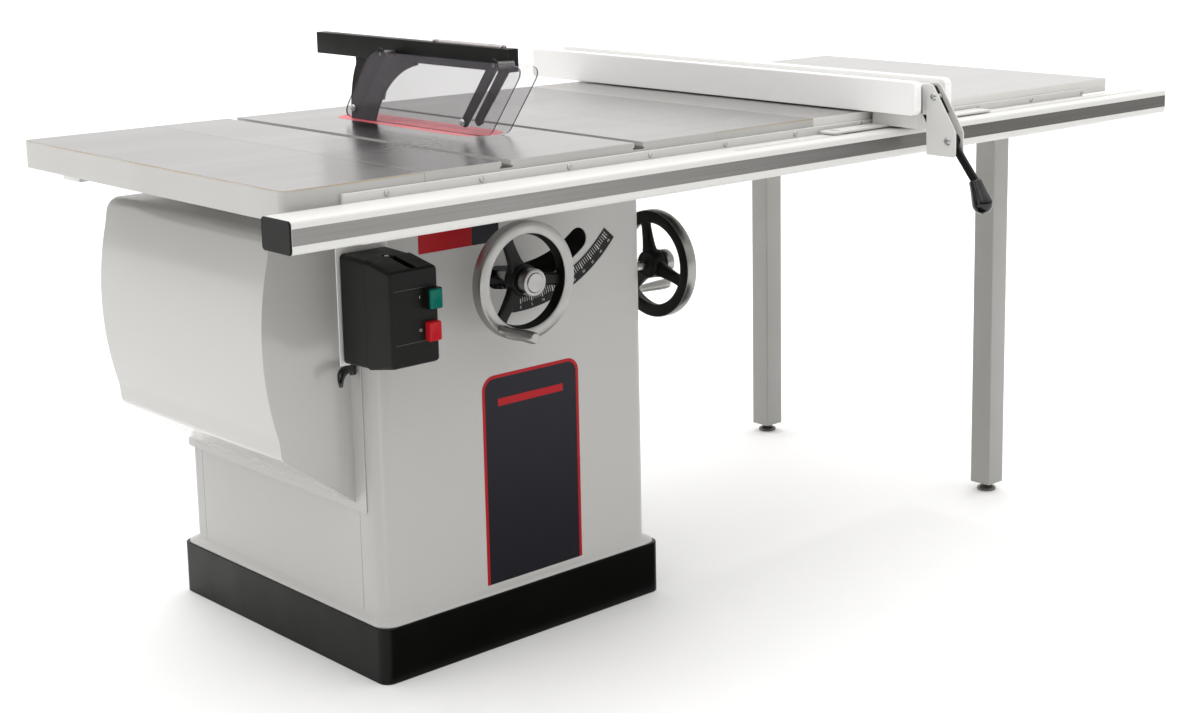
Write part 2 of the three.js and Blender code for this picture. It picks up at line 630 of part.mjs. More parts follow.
// ---- Handwheels ---------------------------------------------------------------------------
// Local frame: the wheel lies in XY with its face towards +Z and the rim's middle at z = 0.
function handwheel(prefix, position, turn, spin) {
  const group = new THREE.Group();
  group.position.copy(position);
  group.setRotationFromMatrix(turn);
  group.rotateZ(rad(spin));
  saw.add(group);
  const inner = WHEEL_R - RIM.deep;
  const edge = RIM.half - 1.5;
  const rim = lathe('z', 0, 0, [
    [WHEEL_R - 1.5, -RIM.half], [WHEEL_R, -edge], [WHEEL_R, edge], [WHEEL_R - 1.5, RIM.half],
    [inner + 1.5, RIM.half], [inner, edge], [inner - 3, -edge], [WHEEL_R - 1.5, -RIM.half],
  ], 26);
  let wheel = join(rim, lathe('z', 0, 0, [
    [0, -22], [25, -22], [27, 2], [23, 8], [0, 8],
  ], 14));
  for (const angle of SPOKES) {
    const spoke = loft('x', [
      [roundedRect(-14, 14, -15, 0, 4).getPoints(1), 15],
      [roundedRect(-10, 10, -RIM.half + 1, 0, 4).getPoints(1), inner + 6],
    ]);
    wheel = wheel.add(spoke.rotate([0, 0, angle]));
  }
  const cx = CRANK.r * Math.cos(rad(CRANK.angle));
  const cy = CRANK.r * Math.sin(rad(CRANK.angle));
  const pinEnd = CRANK.grip - 4;
  wheel = wheel.add(rod('z', cx, cy, 1 - RIM.half, 14, 8, 12)).add(rod('z', cx, cy, 10, pinEnd, 3.7, 12));
  wheel = wheel.subtract(rod('z', 0, 0, -30, 30, SHAFT_R + GAP, 16));
  add(`${prefix}_handwheel`, wheel, RAW_IRON, group);
  const knob = lathe('z', 0, 0, [
    [0, 10.5], [21, 10.5], [23, 12.5], [23, 27], [21.5, 28.5], [17.5, 28.5], [16.5, 30.5], [0, 30.5],
  ], 18);
  add(`${prefix}_lock_knob`, knob, STEEL, group);
  const grip = lathe('z', cx, cy, [
    [4, 14.5], [8.5, 14.5], [7.4, 26], [9.6, 68], [9.8, CRANK.grip - 10], [8, CRANK.grip - 2],
    [0, CRANK.grip], [0, pinEnd + 0.4], [4, pinEnd + 0.4], [4, 14.5],
  ], 14);
  add(`${prefix}_crank_handle`, grip, STEEL, group);
}

// A worm on a shaft along +Z of its own group; the worm's middle is at z = 0.
function wormShaft(name, position, turn, threadTurns, low, high, collars) {
  const group = new THREE.Group();
  group.position.copy(position);
  group.setRotationFromMatrix(turn);
  saw.add(group);
  const half = (threadTurns * Math.PI * MODULE) / 2 + 3;
  let shaft = join(rod('z', 0, 0, low, high, SHAFT_R, 14), rod('z', 0, 0, -half, half, 13, 10));
  shaft = shaft.add(solid(wormThread(threadTurns)));
  for (const z of collars) shaft = shaft.add(rod('z', 0, 0, z - 4, z + 4, 13, 14));
  add(name, shaft, STEEL, group);
}

// Frames for shafts: the columns are where local X, Y and Z point.
function facing(x, y, z) {
  return new THREE.Matrix4().makeBasis(
    new THREE.Vector3(...x), new THREE.Vector3(...y), new THREE.Vector3(...z));
}

function makeWheels() {
  handwheel('height', new THREE.Vector3(HEIGHT_SHAFT_X, WHEEL_FRONT_Y, HEIGHT_SHAFT_Z),
    facing([1, 0, 0], [0, 0, 1], [0, -1, 0]), 0);
  handwheel('tilt', new THREE.Vector3(WHEEL_SIDE_X, WORM_Y, TILT_SHAFT_Z),
    facing([0, 1, 0], [0, 0, 1], [1, 0, 0]), 84);
  wormShaft('height_worm_shaft', new THREE.Vector3(HEIGHT_SHAFT_X, PIVOT_Y, HEIGHT_SHAFT_Z),
    facing([0, 0, 1], [1, 0, 0], [0, 1, 0]), 3, WHEEL_FRONT_Y - 8 - PIVOT_Y, 62, [-348, -318]);
  wormShaft('tilt_worm_shaft', new THREE.Vector3(0, WORM_Y, TILT_SHAFT_Z),
    facing([0, 0, 1], [0, -1, 0], [1, 0, 0]), 3, -58, WHEEL_SIDE_X + 8, [58]);
}

// ---- Trunnions: brackets hung under the table, and the cradle that tilts in them -----------
function makeBracket(name, side) {
  // side is -1 at the front and +1 at the rear; plate is the layer away from the blade
  const plate = side < 0 ? [-286, -271.5] : [259.5, 274];
  const shoe = side < 0 ? [-272, -253] : [241, 260];
  const high = TOP - TABLE_PLATE - GAP;
  let body = slab(tiltSector(30, 190, SHOES[0] - 4, SHOES[1] + 4), 'y', plate[0], plate[1], 2);
  body = body.add(block(-110, 90, plate[0], plate[1], high - 30, high));
  for (const [r0, r1] of [[136, TRUNNION.r0 - 0.9], [TRUNNION.r1 + 0.7, 188]]) {
    body = body.add(slab(tiltSector(r0, r1, ...SHOES), 'y', shoe[0], shoe[1], 3));
  }
  if (side < 0) {
    const z = TILT_SHAFT_Z;
    body = body.add(block(-150, -105, plate[0], plate[1], z - 18, high));
    body = body.add(block(-150, 52, plate[0], plate[1], z - 18, z + 12));
    for (const x of [-46, 40]) {
      body = body.add(block(x, x + 12, plate[0], WORM_Y + 15, z - 16, z + 12));
    }
    body = body.subtract(rod('x', WORM_Y, z, -60, 70, SHAFT_R + GAP, 16));
  }
  add(name, body, RAW_IRON);
}

function makeCradle() {
  const webFront = [-252, -244];
  const webRear = [228, 240.5];
  const earX = [16, 32];
  const { r0, r1, from, to } = TRUNNION;
  let body = slab(tiltSector(r0, r1, from, to), 'y', -268, -250, 6);
  body = body.add(slab(tiltSector(145, 222, from, to), 'y', ...webFront, 3));
  body = body.add(slab(tiltSector(r0, r1, from, to), 'y', 239, 256, 6));
  body = body.add(slab(tiltSector(145, 215, from, to), 'y', ...webRear, 3));
  const gear = gearSector(0, TOP, TILT_GEAR_R, 214, -49, 4);
  body = body.add(slab(gear, 'y', WORM_Y - 6, WORM_Y + 6));
  body = body.add(rod('y', HEIGHT_SHAFT_X, HEIGHT_SHAFT_Z, -266, -236, 14, 12));
  body = body.add(block(28, 50, webFront[1] - 1, webRear[0] + 1, 655, 695));
  // right-hand ear for the arm's pivot, with the splitter's clamp on it
  body = body.add(slab(link([PIVOT_Y, PIVOT_Z], [PIVOT_Y, 670], 20), 'x', ...earX));
  body = body.add(block(earX[0], 40, PIVOT_Y - 20, PIVOT_Y + 20, 655, 690));
  body = body.add(block(SPLITTER_HALF + GAP, earX[1], 95, 143, 773, 788));
  body = body.add(block(SPLITTER_HALF + GAP, 12, 95, 143, 773, 830));
  // left-hand ear, reached from the rear web
  body = body.add(slab(link([PIVOT_Y, PIVOT_Z], [214, PIVOT_Z], 20), 'x', -148, -134));
  body = body.subtract(rod('x', PIVOT_Y, PIVOT_Z, -160, 60, PIVOT_SHAFT_R + GAP, 16));
  body = body.subtract(rod('y', HEIGHT_SHAFT_X, HEIGHT_SHAFT_Z, -280, -200, SHAFT_R + GAP, 16));
  add('trunnion_cradle', body, RAW_IRON);
  const shaft = join(
    rod('x', PIVOT_Y, PIVOT_Z, -152, 34, PIVOT_SHAFT_R, 16),
    rod('x', PIVOT_Y, PIVOT_Z, -156, -148 - GAP, 17, 16),
  );
  add('arm_pivot_shaft', shaft, STEEL);
}

// ---- Raising arm, motor, arbor and blade ---------------------------------------------------
function makeArm() {
  const hub = rod('x', PIVOT_Y, PIVOT_Z, -130, -15, 25, 18);
  const beam = slab(link([PIVOT_Y, PIVOT_Z], [ARBOR_Y, ARBOR_Z], 22), 'x', -54, -26, 3);
  const housing = rod('x', ARBOR_Y, ARBOR_Z, -56, -15, 29, 18);
  const sector = slab(gearSector(PIVOT_Y, PIVOT_Z, HEIGHT_GEAR_R, 20, -7, 36),
    'x', HEIGHT_SHAFT_X - 6, HEIGHT_SHAFT_X + 6);
  const plate = outline([
    [PIVOT_Y - 24, PIVOT_Z + 5], [PIVOT_Y + 24, PIVOT_Z + 5],
    [MOTOR_Y + 75, MOTOR_Z - 55], [MOTOR_Y + 40, MOTOR_Z - 80],
    [MOTOR_Y - 40, MOTOR_Z - 80], [MOTOR_Y - 75, MOTOR_Z - 55], [MOTOR_Y - 75, MOTOR_Z + 60],
  ]);
  let arm = join(hub, beam, housing, sector, slab(plate, 'x', -130, -118));
  arm = cut(
    arm,
    rod('x', PIVOT_Y, PIVOT_Z, -140, 0, PIVOT_SHAFT_R + GAP, 16),
    rod('x', ARBOR_Y, ARBOR_Z, -70, 0, ARBOR_R + GAP, 16),
    rod('x', MOTOR_Y, MOTOR_Z, -140, -100, 16, 14),
  );
  add('arbor_arm', arm, RAW_IRON);
}

function makeMotor() {
  const face = -130 - GAP;
  const end = -408;
  const can = MOTOR_R - 7;
  let body = lathe('x', MOTOR_Y, MOTOR_Z, [
    [0, end], [can - 14, end], [can - 4, end + 8], [can, end + 22], [can, end + 46], [can - 5, end + 48],
    [can - 5, face - 42], [can, face - 40], [can, face - 6], [can - 6, face], [0, face],
  ], 20);
  const fins = 10;
  const fin = slab(roundedRect(-1.5, 1.5, can - 10, MOTOR_R, 1), 'x', end + 60, face - 52, 1);
  for (let k = 0; k < fins; k += 1) {
    body = body.add(fin.rotate([(k * 360) / fins, 0, 0]).translate([0, MOTOR_Y, MOTOR_Z]));
  }
  const boxHalf = 40; // terminal box under the can
  body = body.add(block(
    -330, -240, MOTOR_Y - boxHalf, MOTOR_Y + boxHalf, MOTOR_Z - MOTOR_R - 28, MOTOR_Z - can + 12));
  body = body.subtract(rod('x', MOTOR_Y, MOTOR_Z, face - 60, face + 1, MOTOR_SHAFT_R + GAP, 16));
  add('motor', body, BLACK_PAINT);
}

// V-groove pulley along X about its own origin, with a rim wherever there is no belt.
function pulley(outer, hub) {
  const depth = 9;
  const profile = [[0, BELT_XS[0] - 9], [outer, BELT_XS[0] - 9]];
  for (const x of BELT_XS) {
    profile.push([outer, x - 6.2], [outer - depth, x - 3.2], [outer - depth, x + 3.2], [outer, x + 6.2]);
  }
  profile.push([outer, BELT_XS[2] + 9], [hub, BELT_XS[2] + 9]);
  return profile;
}

function makeDrive() {
  const motorProfile = pulley(MOTOR_PULLEY_R, MOTOR_SHAFT_R);
  motorProfile.push([MOTOR_SHAFT_R, -55], [0, -55]);
  const rotor = join(
    lathe('x', MOTOR_Y, MOTOR_Z, motorProfile, 14),
    rod('x', MOTOR_Y, MOTOR_Z, -186, -100, MOTOR_SHAFT_R, 14),
  );
  add('motor_pulley', rotor, RAW_IRON);

  const sheave = lathe('x', ARBOR_Y, ARBOR_Z, pulley(ARBOR_PULLEY_R, 0), 14);
  const bore = rod('x', ARBOR_Y, ARBOR_Z, -120, -40, ARBOR_R + GAP, 16);
  add('arbor_pulley', sheave.subtract(bore), RAW_IRON);
  const seat = BLADE_HALF + 0.7; // flange face
  const arbor = lathe('x', ARBOR_Y, ARBOR_Z, [
    [0, -112], [ARBOR_R, -112], [ARBOR_R, -14.5], [FLANGE_R, -14.5], [FLANGE_R, -seat],
    [ARBOR_R, -seat], [ARBOR_R, 24], [0, 24],
  ], 16);
  add('arbor_shaft', arbor, STEEL);
  const nut = join(
    lathe('x', ARBOR_Y, ARBOR_Z, [[0, seat], [FLANGE_R, seat], [FLANGE_R - 1, 7], [0, 7]], 16),
    rod('x', ARBOR_Y, ARBOR_Z, 6, 21, 16, 6),
  );
  add('arbor_nut', nut.subtract(rod('x', ARBOR_Y, ARBOR_Z, 0, 30, ARBOR_R + GAP, 16)), RAW_IRON);
  makeBlade();
  makeBelts();
}

function makeBlade() {
  const step = (2 * Math.PI) / BLADE_TEETH;
  const gullet = BLADE_R - 12;
  const points = [];
  const at = (r, a) => points.push([ARBOR_Y + r * Math.cos(a), ARBOR_Z + r * Math.sin(a)]);
  for (let k = 0; k < BLADE_TEETH; k += 1) {
    const a = k * step;
    at(BLADE_R, a);
    at(gullet, a + step * 0.1);
    at(gullet, a + step * 0.35);
  }
  const disc = slab(outline(points), 'x', -BLADE_HALF, BLADE_HALF);
  add('saw_blade', disc.subtract(rod('x', ARBOR_Y, ARBOR_Z, -5, 5, ARBOR_R + GAP, 16)), STEEL);
}

// Open belt round both pulleys, as a closed ring of V section.
function makeBelts() {
  const ringShape = (grow) => {
    const r0 = ARBOR_PULLEY_R + grow;
    const r1 = MOTOR_PULLEY_R + grow;
    const dy = MOTOR_Y - ARBOR_Y;
    const dz = MOTOR_Z - ARBOR_Z;
    const dist = Math.hypot(dy, dz);
    const along = Math.atan2(dz, dy);
    const open = Math.acos((r0 - r1) / dist);
    const shape = new THREE.Shape();
    shape.absarc(ARBOR_Y, ARBOR_Z, r0, along + open, along + 2 * Math.PI - open, false);
    shape.absarc(MOTOR_Y, MOTOR_Z, r1, along - open, along + open, false);
    return shape.getPoints(5);
  };
  BELT_XS.forEach((x, i) => {
    const outer = ringShape(1.8);
    const inner = ringShape(-6);
    const wide = 4.9;
    const narrow = 2.7;
    const body = cut(
      loft('x', [[inner, x - narrow], [outer, x - wide], [outer, x + wide], [inner, x + narrow]]),
      loft('x', [[inner, x - 8], [inner, x + 8]]),
    );
    add(`drive_belt_${i + 1}`, body, RUBBER);
  });
}

// ---- Blade guard ---------------------------------------------------------------------------
function makeGuardSpine() {
  const arc = { y: -75, z: 801, r: 174, end: 80.5 }; // front edge, which follows the raised blade
  const b = GUARD_BAR;
  const foot = 792;
  const shape = new THREE.Shape();
  shape.moveTo(86, foot);
  shape.lineTo(86, 860);
  shape.absarc(arc.y, arc.z, arc.r, Math.atan2(861 - arc.z, 86 - arc.y), rad(arc.end), false);
  shape.lineTo(arc.y + arc.r * Math.cos(rad(arc.end)), b.z0 + 4);
  shape.lineTo(142, b.z0 + 4);
  shape.quadraticCurveTo(138, 964, 144, 958);
  shape.quadraticCurveTo(158, 930, 161, 890);
  shape.lineTo(161, foot);
  let spine = slab(shape, 'x', -SPLITTER_HALF, SPLITTER_HALF, 5);
  spine = spine.add(block(-b.half, b.half, b.y0, b.y1, b.z0, b.z1));
  for (const { out, x, front, rear, z } of Object.values(SIDES)) {
    const reach = Math.abs(x);
    for (const y of [front, rear]) {
      const pin = (length, r) => {
        const ends = [0, out * length].sort((a, b) => a - b);
        return rod('x', y, z, ...ends, r, 8);
      };
      spine = spine.add(pin(reach - 2.1, PIN_R)).add(pin(reach - 6.2, 6));
    }
  }
  // thin strip on two cross pins along the top of the bar
  spine = spine.add(block(-1.5, 1.5, -290, -94, b.z1 - 1, b.z1 + 5));
  for (const y of [-285, -99]) spine = spine.add(rod('x', y, b.z1 + 2.2, -6, 6, 2.4, 8));
  spine = spine.subtract(rod('x', PAWL.y, PAWL.z, -20, 20, PIN_R + GAP, 8));
  add('guard_spine', spine, BLACK_PAINT);
}

function makeLinks() {
  for (const [side, { out, x, z, ...ends }] of Object.entries(SIDES)) {
    for (const end of ['front', 'rear']) {
      const group = new THREE.Group();
      group.position.set(x, ends[end], z);
      saw.add(group);
      const span = (near, far) => (out > 0 ? [near, far] : [-far, -near]);
      const blade = taperedLink([0, 0], 12, [LINK.y, LINK.z], 9);
      const bar = join(
        slab(blade, 'x', ...span(-5.6, -2.4), 2).subtract(rod('x', 0, 0, -9, 9, PIN_R + GAP, 8)),
        rod('x', LINK.y, LINK.z, ...span(-4, 5), PIN_R, 8),
        rod('x', LINK.y, LINK.z, ...span(1.8, 5.4), 6.5, 8),
      );
      add(`guard_link_${side}_${end}`, bar, BLACK_PAINT, group);
    }
  }
}

function shieldShape(shiftY, shiftZ) {
  // each corner: y, z and how far along its edges the rounding starts
  const corners = [[32, 996, 24], [-396, 996, 34], [-300, 874, 16], [126, 874, 34]];
  const p = corners.map(([y, z]) => new THREE.Vector2(y + shiftY, z + shiftZ));
  const shape = new THREE.Shape();
  p.forEach((corner, i) => {
    const before = p[(i + p.length - 1) % p.length];
    const after = p[(i + 1) % p.length];
    const round = corners[i][2];
    const a = corner.clone().lerp(before, round / corner.distanceTo(before));
    const b = corner.clone().lerp(after, round / corner.distanceTo(after));
    if (i === 0) shape.moveTo(a.x, a.y);
    else shape.lineTo(a.x, a.y);
    shape.quadraticCurveTo(corner.x, corner.y, b.x, b.y);
  });
  return shape;
}

function makeShields() {
  for (const [side, { x, front, rear, z, shiftY, shiftZ }] of Object.entries(SIDES)) {
    let shield = slab(shieldShape(shiftY, shiftZ), 'x', x - 1.5, x + 1.5, 3);
    for (const y of [front, rear]) {
      shield = shield.subtract(rod('x', y + LINK.y, z + LINK.z, x - 5, x + 5, PIN_R + GAP, 8));
    }
    add(`guard_shield_${side}`, shield, CLEAR);
  }
}

function makePawls() {
  const { y, z, reach } = PAWL;
  const at = (r, degrees) => [y + r * Math.cos(rad(degrees)), z + r * Math.sin(rad(degrees))];
  const shape = new THREE.Shape();
  shape.absarc(y, z, 9, rad(-60), rad(100), false);
  shape.lineTo(...at(reach - 4, 172));
  const teeth = 6;
  for (let k = 0; k < teeth; k += 1) {
    const angle = 176 + k * 6;
    shape.lineTo(...at(reach, angle));
    shape.lineTo(...at(reach - 3.5, angle + 2));
  }
  const thick = 3;
  const near = SPLITTER_HALF + GAP;
  add('kickback_pawls', join(
    slab(shape, 'x', -near - thick, -near, 2),
    slab(shape, 'x', near, near + thick, 2),
    rod('x', y, z, -7, 7, PIN_R, 8),
  ), STEEL);
}

// ---- Fence ---------------------------------------------------------------------------------
function makeFence() {
  const fence = new THREE.Group();
  fence.position.set(FENCE_X, 0, 0);
  saw.add(fence);
  const inside = FENCE_HALF - FACE_T - GAP;
  const beam = slab(roundedRect(-inside, inside, FENCE_LOW + 2, FENCE_HIGH - 10, 4), 'y', -588, 462, 1);
  const bore = slab(
    roundedRect(3 - inside, inside - 3, FENCE_LOW + 5, FENCE_HIGH - 13, 2), 'y', -582, 463, 1);
  add('fence_beam', cut(beam, bore), PAINT, fence);
  for (const [side, x] of [['left', -FENCE_HALF], ['right', FENCE_HALF - FACE_T]]) {
    const face = slab(
      roundedRect(FENCE_FRONT, FENCE_REAR, FENCE_LOW, FENCE_HIGH, 12), 'x', x, x + FACE_T, 2);
    add(`fence_face_${side}`, face, POLY, fence);
  }
  makeFenceHead(fence);
  makeLever(fence);
}

function makeFenceHead(fence) {
  const shape = outline([
    [-590, 920], [-614, 922], [-666, 842], [-668, 836], [-668, 798], [-663, 793], [-602, 793],
    [-601, 850], [-592, 866],
  ]);
  const right = PLATE_XS[1] + PLATE_T;
  let head = block(PLATE_XS[0], right, -600.5, -598.8, 868, 900);
  for (const x of PLATE_XS) head = head.add(slab(shape, 'x', x, x + PLATE_T));
  head = head.add(rod('x', -617, 899, -17, 12, 5, 8));
  head = head.add(rod('x', -617, 899, -17.5, -14, 7, 10));
  head = head.add(rod('x', -617, 899, 9, 12.5, 7, 10));
  // bar across the rail top, and the neck that ties it to the side plates and beam
  head = head.add(block(-177, 280, -523, -486, RAIL_HIGH + 2, RAIL_HIGH + 6));
  head = head.add(block(-30, 30, -590, -486, RAIL_HIGH + 4, FENCE_LOW + 2 - GAP));
  head = head.add(block(PLATE_XS[0], right, -602, -585, RAIL_HIGH + 4, 866));
  head = head.subtract(rod('x', LEVER.y, LEVER.z, -30, 30, PIN_R + 1, 12));
  add('fence_head', head, PAINT, fence);
}

function makeLever(fence) {
  const group = new THREE.Group();
  group.position.set(0, LEVER.y, LEVER.z);
  fence.add(group);
  const knobStart = [-55, -68]; // the knob's axis in (y, z) from the pivot
  const knobEnd = [-79, -123];
  const along = new THREE.Vector2(knobEnd[0] - knobStart[0], knobEnd[1] - knobStart[1]);
  const length = along.length();
  const lean = THREE.MathUtils.radToDeg(Math.atan2(-along.x, along.y));
  const knob = lathe('z', 0, 0, [
    [0, -2], [8.5, -2], [9.5, 0], [11, 10], [18.5, 40], [19.5, 48], [17.5, length - 5],
    [10, length], [0, length],
  ], 20).rotate([lean, 0, 0]).translate([-2.5, ...knobStart]);
  add('fence_lever', join(
    slab(link([0, 0], knobStart, 7), 'x', -6, 1, 2),
    slab(link([0, 0], [6, -4], 13), 'x', -11.5, 6.5, 3),
    rod('x', 0, 0, -17.5, 12.5, PIN_R, 12),
    rod('x', 0, 0, -18.5, -15.4, 7, 12),
    rod('x', 0, 0, 10.4, 13.5, 7, 12),
    knob,
  ), PLASTIC, group);
}

makePlinth();
makeCabinet();
makeTiltScale();
makeDustPort();
makeMotorCover();
makeCoverLatch();
makeTables();
makeInsert();
makeRails();
makeLegs();
makeSwitch();
makeWheels();
makeBracket('trunnion_bracket_front', -1);
makeBracket('trunnion_bracket_rear', 1);
makeCradle();
makeArm();
makeMotor();
makeDrive();
makeGuardSpine();
makeLinks();
makeShields();
makePawls();
makeFence();

export default saw;
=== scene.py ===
"""Looks for the cabinet table saw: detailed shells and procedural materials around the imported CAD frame.

Lengths are written in millimetres in the frame's own axes (+X right, +Y to the rear, +Z up) and turned
into metres when a mesh is made.
"""
import json
import math
from collections import namedtuple

import bmesh
import bpy
from mathutils import Matrix, Vector


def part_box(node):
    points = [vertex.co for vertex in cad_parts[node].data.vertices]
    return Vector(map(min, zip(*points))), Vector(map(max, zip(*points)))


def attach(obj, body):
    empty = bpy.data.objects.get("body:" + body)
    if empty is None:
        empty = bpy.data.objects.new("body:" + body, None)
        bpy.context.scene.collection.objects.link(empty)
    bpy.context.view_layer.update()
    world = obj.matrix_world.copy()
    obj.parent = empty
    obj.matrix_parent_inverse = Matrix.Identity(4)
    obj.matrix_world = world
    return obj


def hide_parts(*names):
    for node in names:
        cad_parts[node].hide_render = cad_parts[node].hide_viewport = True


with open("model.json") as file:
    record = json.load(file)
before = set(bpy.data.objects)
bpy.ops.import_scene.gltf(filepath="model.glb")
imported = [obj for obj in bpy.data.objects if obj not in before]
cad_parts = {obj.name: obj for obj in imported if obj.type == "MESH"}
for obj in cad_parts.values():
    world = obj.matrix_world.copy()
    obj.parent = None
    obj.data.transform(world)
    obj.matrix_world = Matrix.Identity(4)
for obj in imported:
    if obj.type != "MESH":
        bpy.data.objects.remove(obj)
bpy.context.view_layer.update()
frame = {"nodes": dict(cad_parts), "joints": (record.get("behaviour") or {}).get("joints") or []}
MM = 0.001
Box = namedtuple("Box", "x0 y0 z0 x1 y1 z1")


def box(node):
    low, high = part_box(node)
    return Box(*(v / MM for v in (*low, *high)))


def pivot(joint):
    found = next(j for j in frame["joints"] if j["name"] == joint)
    return Vector(found["pos_m"]) / MM


# ---- Outlines: lists of (u, v) points ------------------------------------------------------------
def arc(u, v, r, start, end, steps=8):
    turns = [math.radians(start + (end - start) * k / steps) for k in range(steps + 1)]
    return [(u + r * math.cos(a), v + r * math.sin(a)) for a in turns]


def rounded(u0, u1, v0, v1, r, steps=6):
    return (arc(u1 - r, v0 + r, r, -90, 0, steps) + arc(u1 - r, v1 - r, r, 0, 90, steps)
            + arc(u0 + r, v1 - r, r, 90, 180, steps) + arc(u0 + r, v0 + r, r, 180, 270, steps))


def stadium(u0, u1, v0, v1, steps=20):
    r = (u1 - u0) / 2
    return arc(u0 + r, v1 - r, r, 0, 180, steps) + arc(u0 + r, v0 + r, r, 180, 360, steps)


def bar(a, ra, b, rb, steps=12):
    """A bar from a to b with round ends of radius ra and rb."""
    along = math.degrees(math.atan2(b[1] - a[1], b[0] - a[0]))
    side = math.degrees(math.acos((ra - rb) / math.dist(a, b)))
    return (arc(*b, rb, along - side, along + side, steps)
            + arc(*a, ra, along + side, along + 360 - side, steps))


def bend(a, corner, b, steps=8):
    """A quadratic curve from a to b, pulled towards corner."""
    points = []
    for k in range(steps + 1):
        t = k / steps
        points.append(tuple(a[i] * (1 - t) ** 2 + 2 * corner[i] * t * (1 - t) + b[i] * t * t for i in (0, 1)))
    return points


def tilt_point(r, degrees):
    """A point (x, z) about the tilt axis, at an angle from straight down towards +X."""
    top = pivot("blade_tilt").z
    return (r * math.sin(math.radians(degrees)), top - r * math.cos(math.radians(degrees)))


def tilt_sector(r0, r1, start, end, steps=40):
    turns = [start + (end - start) * k / steps for k in range(steps + 1)]
    return [tilt_point(r1, a) for a in turns] + [tilt_point(r0, a) for a in reversed(turns)]


# ---- Shapes: (points, faces, material index of each face) ----------------------------------------
def at_axis(axis, u, v, w):
    return {"x": (w, u, v), "y": (u, w, v), "z": (u, v, w)}[axis]


def loft(axis, rings, tone=0):
    """Skins outlines that have the same number of points; rings are (outline, height along axis)."""
    count = len(rings[0][0])
    points = [at_axis(axis, u, v, w) for outline, w in rings for u, v in outline]
    faces = [tuple(range(count)), tuple(range((len(rings) - 1) * count, len(rings) * count))]
    for k in range(len(rings) - 1):
        for i in range(count):
            j = (i + 1) % count
            faces.append((k * count + i, k * count + j, (k + 1) * count + j, (k + 1) * count + i))
    return points, faces, [tone] * len(faces)


def prism(axis, outline, low, high, tone=0):
    return loft(axis, [(outline, low), (outline, high)], tone)


def block(x0, x1, y0, y1, z0, z1, tone=0):
    return prism("z", [(x0, y0), (x1, y0), (x1, y1), (x0, y1)], z0, z1, tone)


def turned(axis, u, v, profile, segments=64, tone=0, tones=None):
    """A lathe shape. The profile is (radius, height) from axis to axis, or a closed loop."""
    closed = profile[0] == profile[-1]
    ring_points = profile[:-1] if closed else profile
    points, rings = [], []
    for r, h in ring_points:
        if r < 1e-6:
            rings.append([len(points)] * segments)
            points.append(at_axis(axis, u, v, h))
            continue
        rings.append(list(range(len(points), len(points) + segments)))
        for k in range(segments):
            a = 2 * math.pi * k / segments
            points.append(at_axis(axis, u + r * math.cos(a), v + r * math.sin(a), h))
    faces, marks = [], []
    pairs = list(zip(rings, rings[1:])) + ([(rings[-1], rings[0])] if closed else [])
    for n, (a, b) in enumerate(pairs):
        for k in range(segments):
            j = (k + 1) % segments
            corners = [a[k], a[j], b[j], b[k]]
            face = tuple(dict.fromkeys(corners))
            if len(face) > 2:
                faces.append(face)
                marks.append(tones[n] if tones else tone)
    return points, faces, marks


def rod(axis, u, v, low, high, r, edge=0.0, segments=32, tone=0):
    if not edge:
        return turned(axis, u, v, [(0, low), (r, low), (r, high), (0, high)], segments, tone)
    return turned(axis, u, v, [
        (0, low), (r - edge, low), (r, low + edge), (r, high - edge), (r - edge, high), (0, high),
    ], segments, tone)


def sweep(path, radii, segments=16, tone=0):
    """A round bar along a path of points, with a radius at each."""
    points, faces = [], []
    side = None
    for k, (centre, r) in enumerate(zip(path, radii)):
        along = (path[min(k + 1, len(path) - 1)] - path[max(k - 1, 0)]).normalized()
        side = (side or along.orthogonal())
        side = (side - along * side.dot(along)).normalized()
        other = along.cross(side)
        for i in range(segments):
            a = 2 * math.pi * i / segments
            points.append(tuple(centre + side * (r * math.cos(a)) + other * (r * math.sin(a))))
    last = (len(path) - 1) * segments
    faces = [tuple(range(segments)), tuple(range(last, last + segments))]
    for k in range(len(path) - 1):
        for i in range(segments):
            j = (i + 1) % segments
            faces.append((k * segments + i, k * segments + j, (k + 1) * segments + j, (k + 1) * segments + i))
    return points, faces, [tone] * len(faces)


def moved(shape, matrix):
    points, faces, marks = shape
    return [tuple(matrix @ Vector(p)) for p in points], faces, marks


# ---- Pieces --------------------------------------------------------------------------------------
def mesh_from(name, shapes):
    mesh = bpy.data.meshes.new(name)
    points, faces, marks = [], [], []
    for shape_points, shape_faces, shape_marks in shapes:
        start = len(points)
        points += [tuple(c * MM for c in p) for p in shape_points]
        faces += [tuple(i + start for i in face) for face in shape_faces]
        marks += shape_marks
    mesh.from_pydata(points, [], faces)
    mesh.polygons.foreach_set("material_index", marks)
    edit = bmesh.new()
    edit.from_mesh(mesh)
    bmesh.ops.recalc_face_normals(edit, faces=edit.faces)
    edit.to_mesh(mesh)
    edit.free()
    return mesh


def baked(obj):
    """The object's mesh with its modifiers applied."""
    depsgraph = bpy.context.evaluated_depsgraph_get()
    depsgraph.update()
    mesh = bpy.data.meshes.new_from_object(obj.evaluated_get(depsgraph))
    obj.modifiers.clear()
    obj.data = mesh


def carve(obj, cutters):
    for k, shape in enumerate(cutters):
        tool = bpy.data.objects.new("tool", mesh_from("tool", [shape]))
        bpy.context.scene.collection.objects.link(tool)
        cut = obj.modifiers.new("cut", "BOOLEAN")
        cut.operation = "DIFFERENCE"
        cut.solver = "EXACT"
        cut.object = tool
        baked(obj)
        bpy.data.objects.remove(tool)


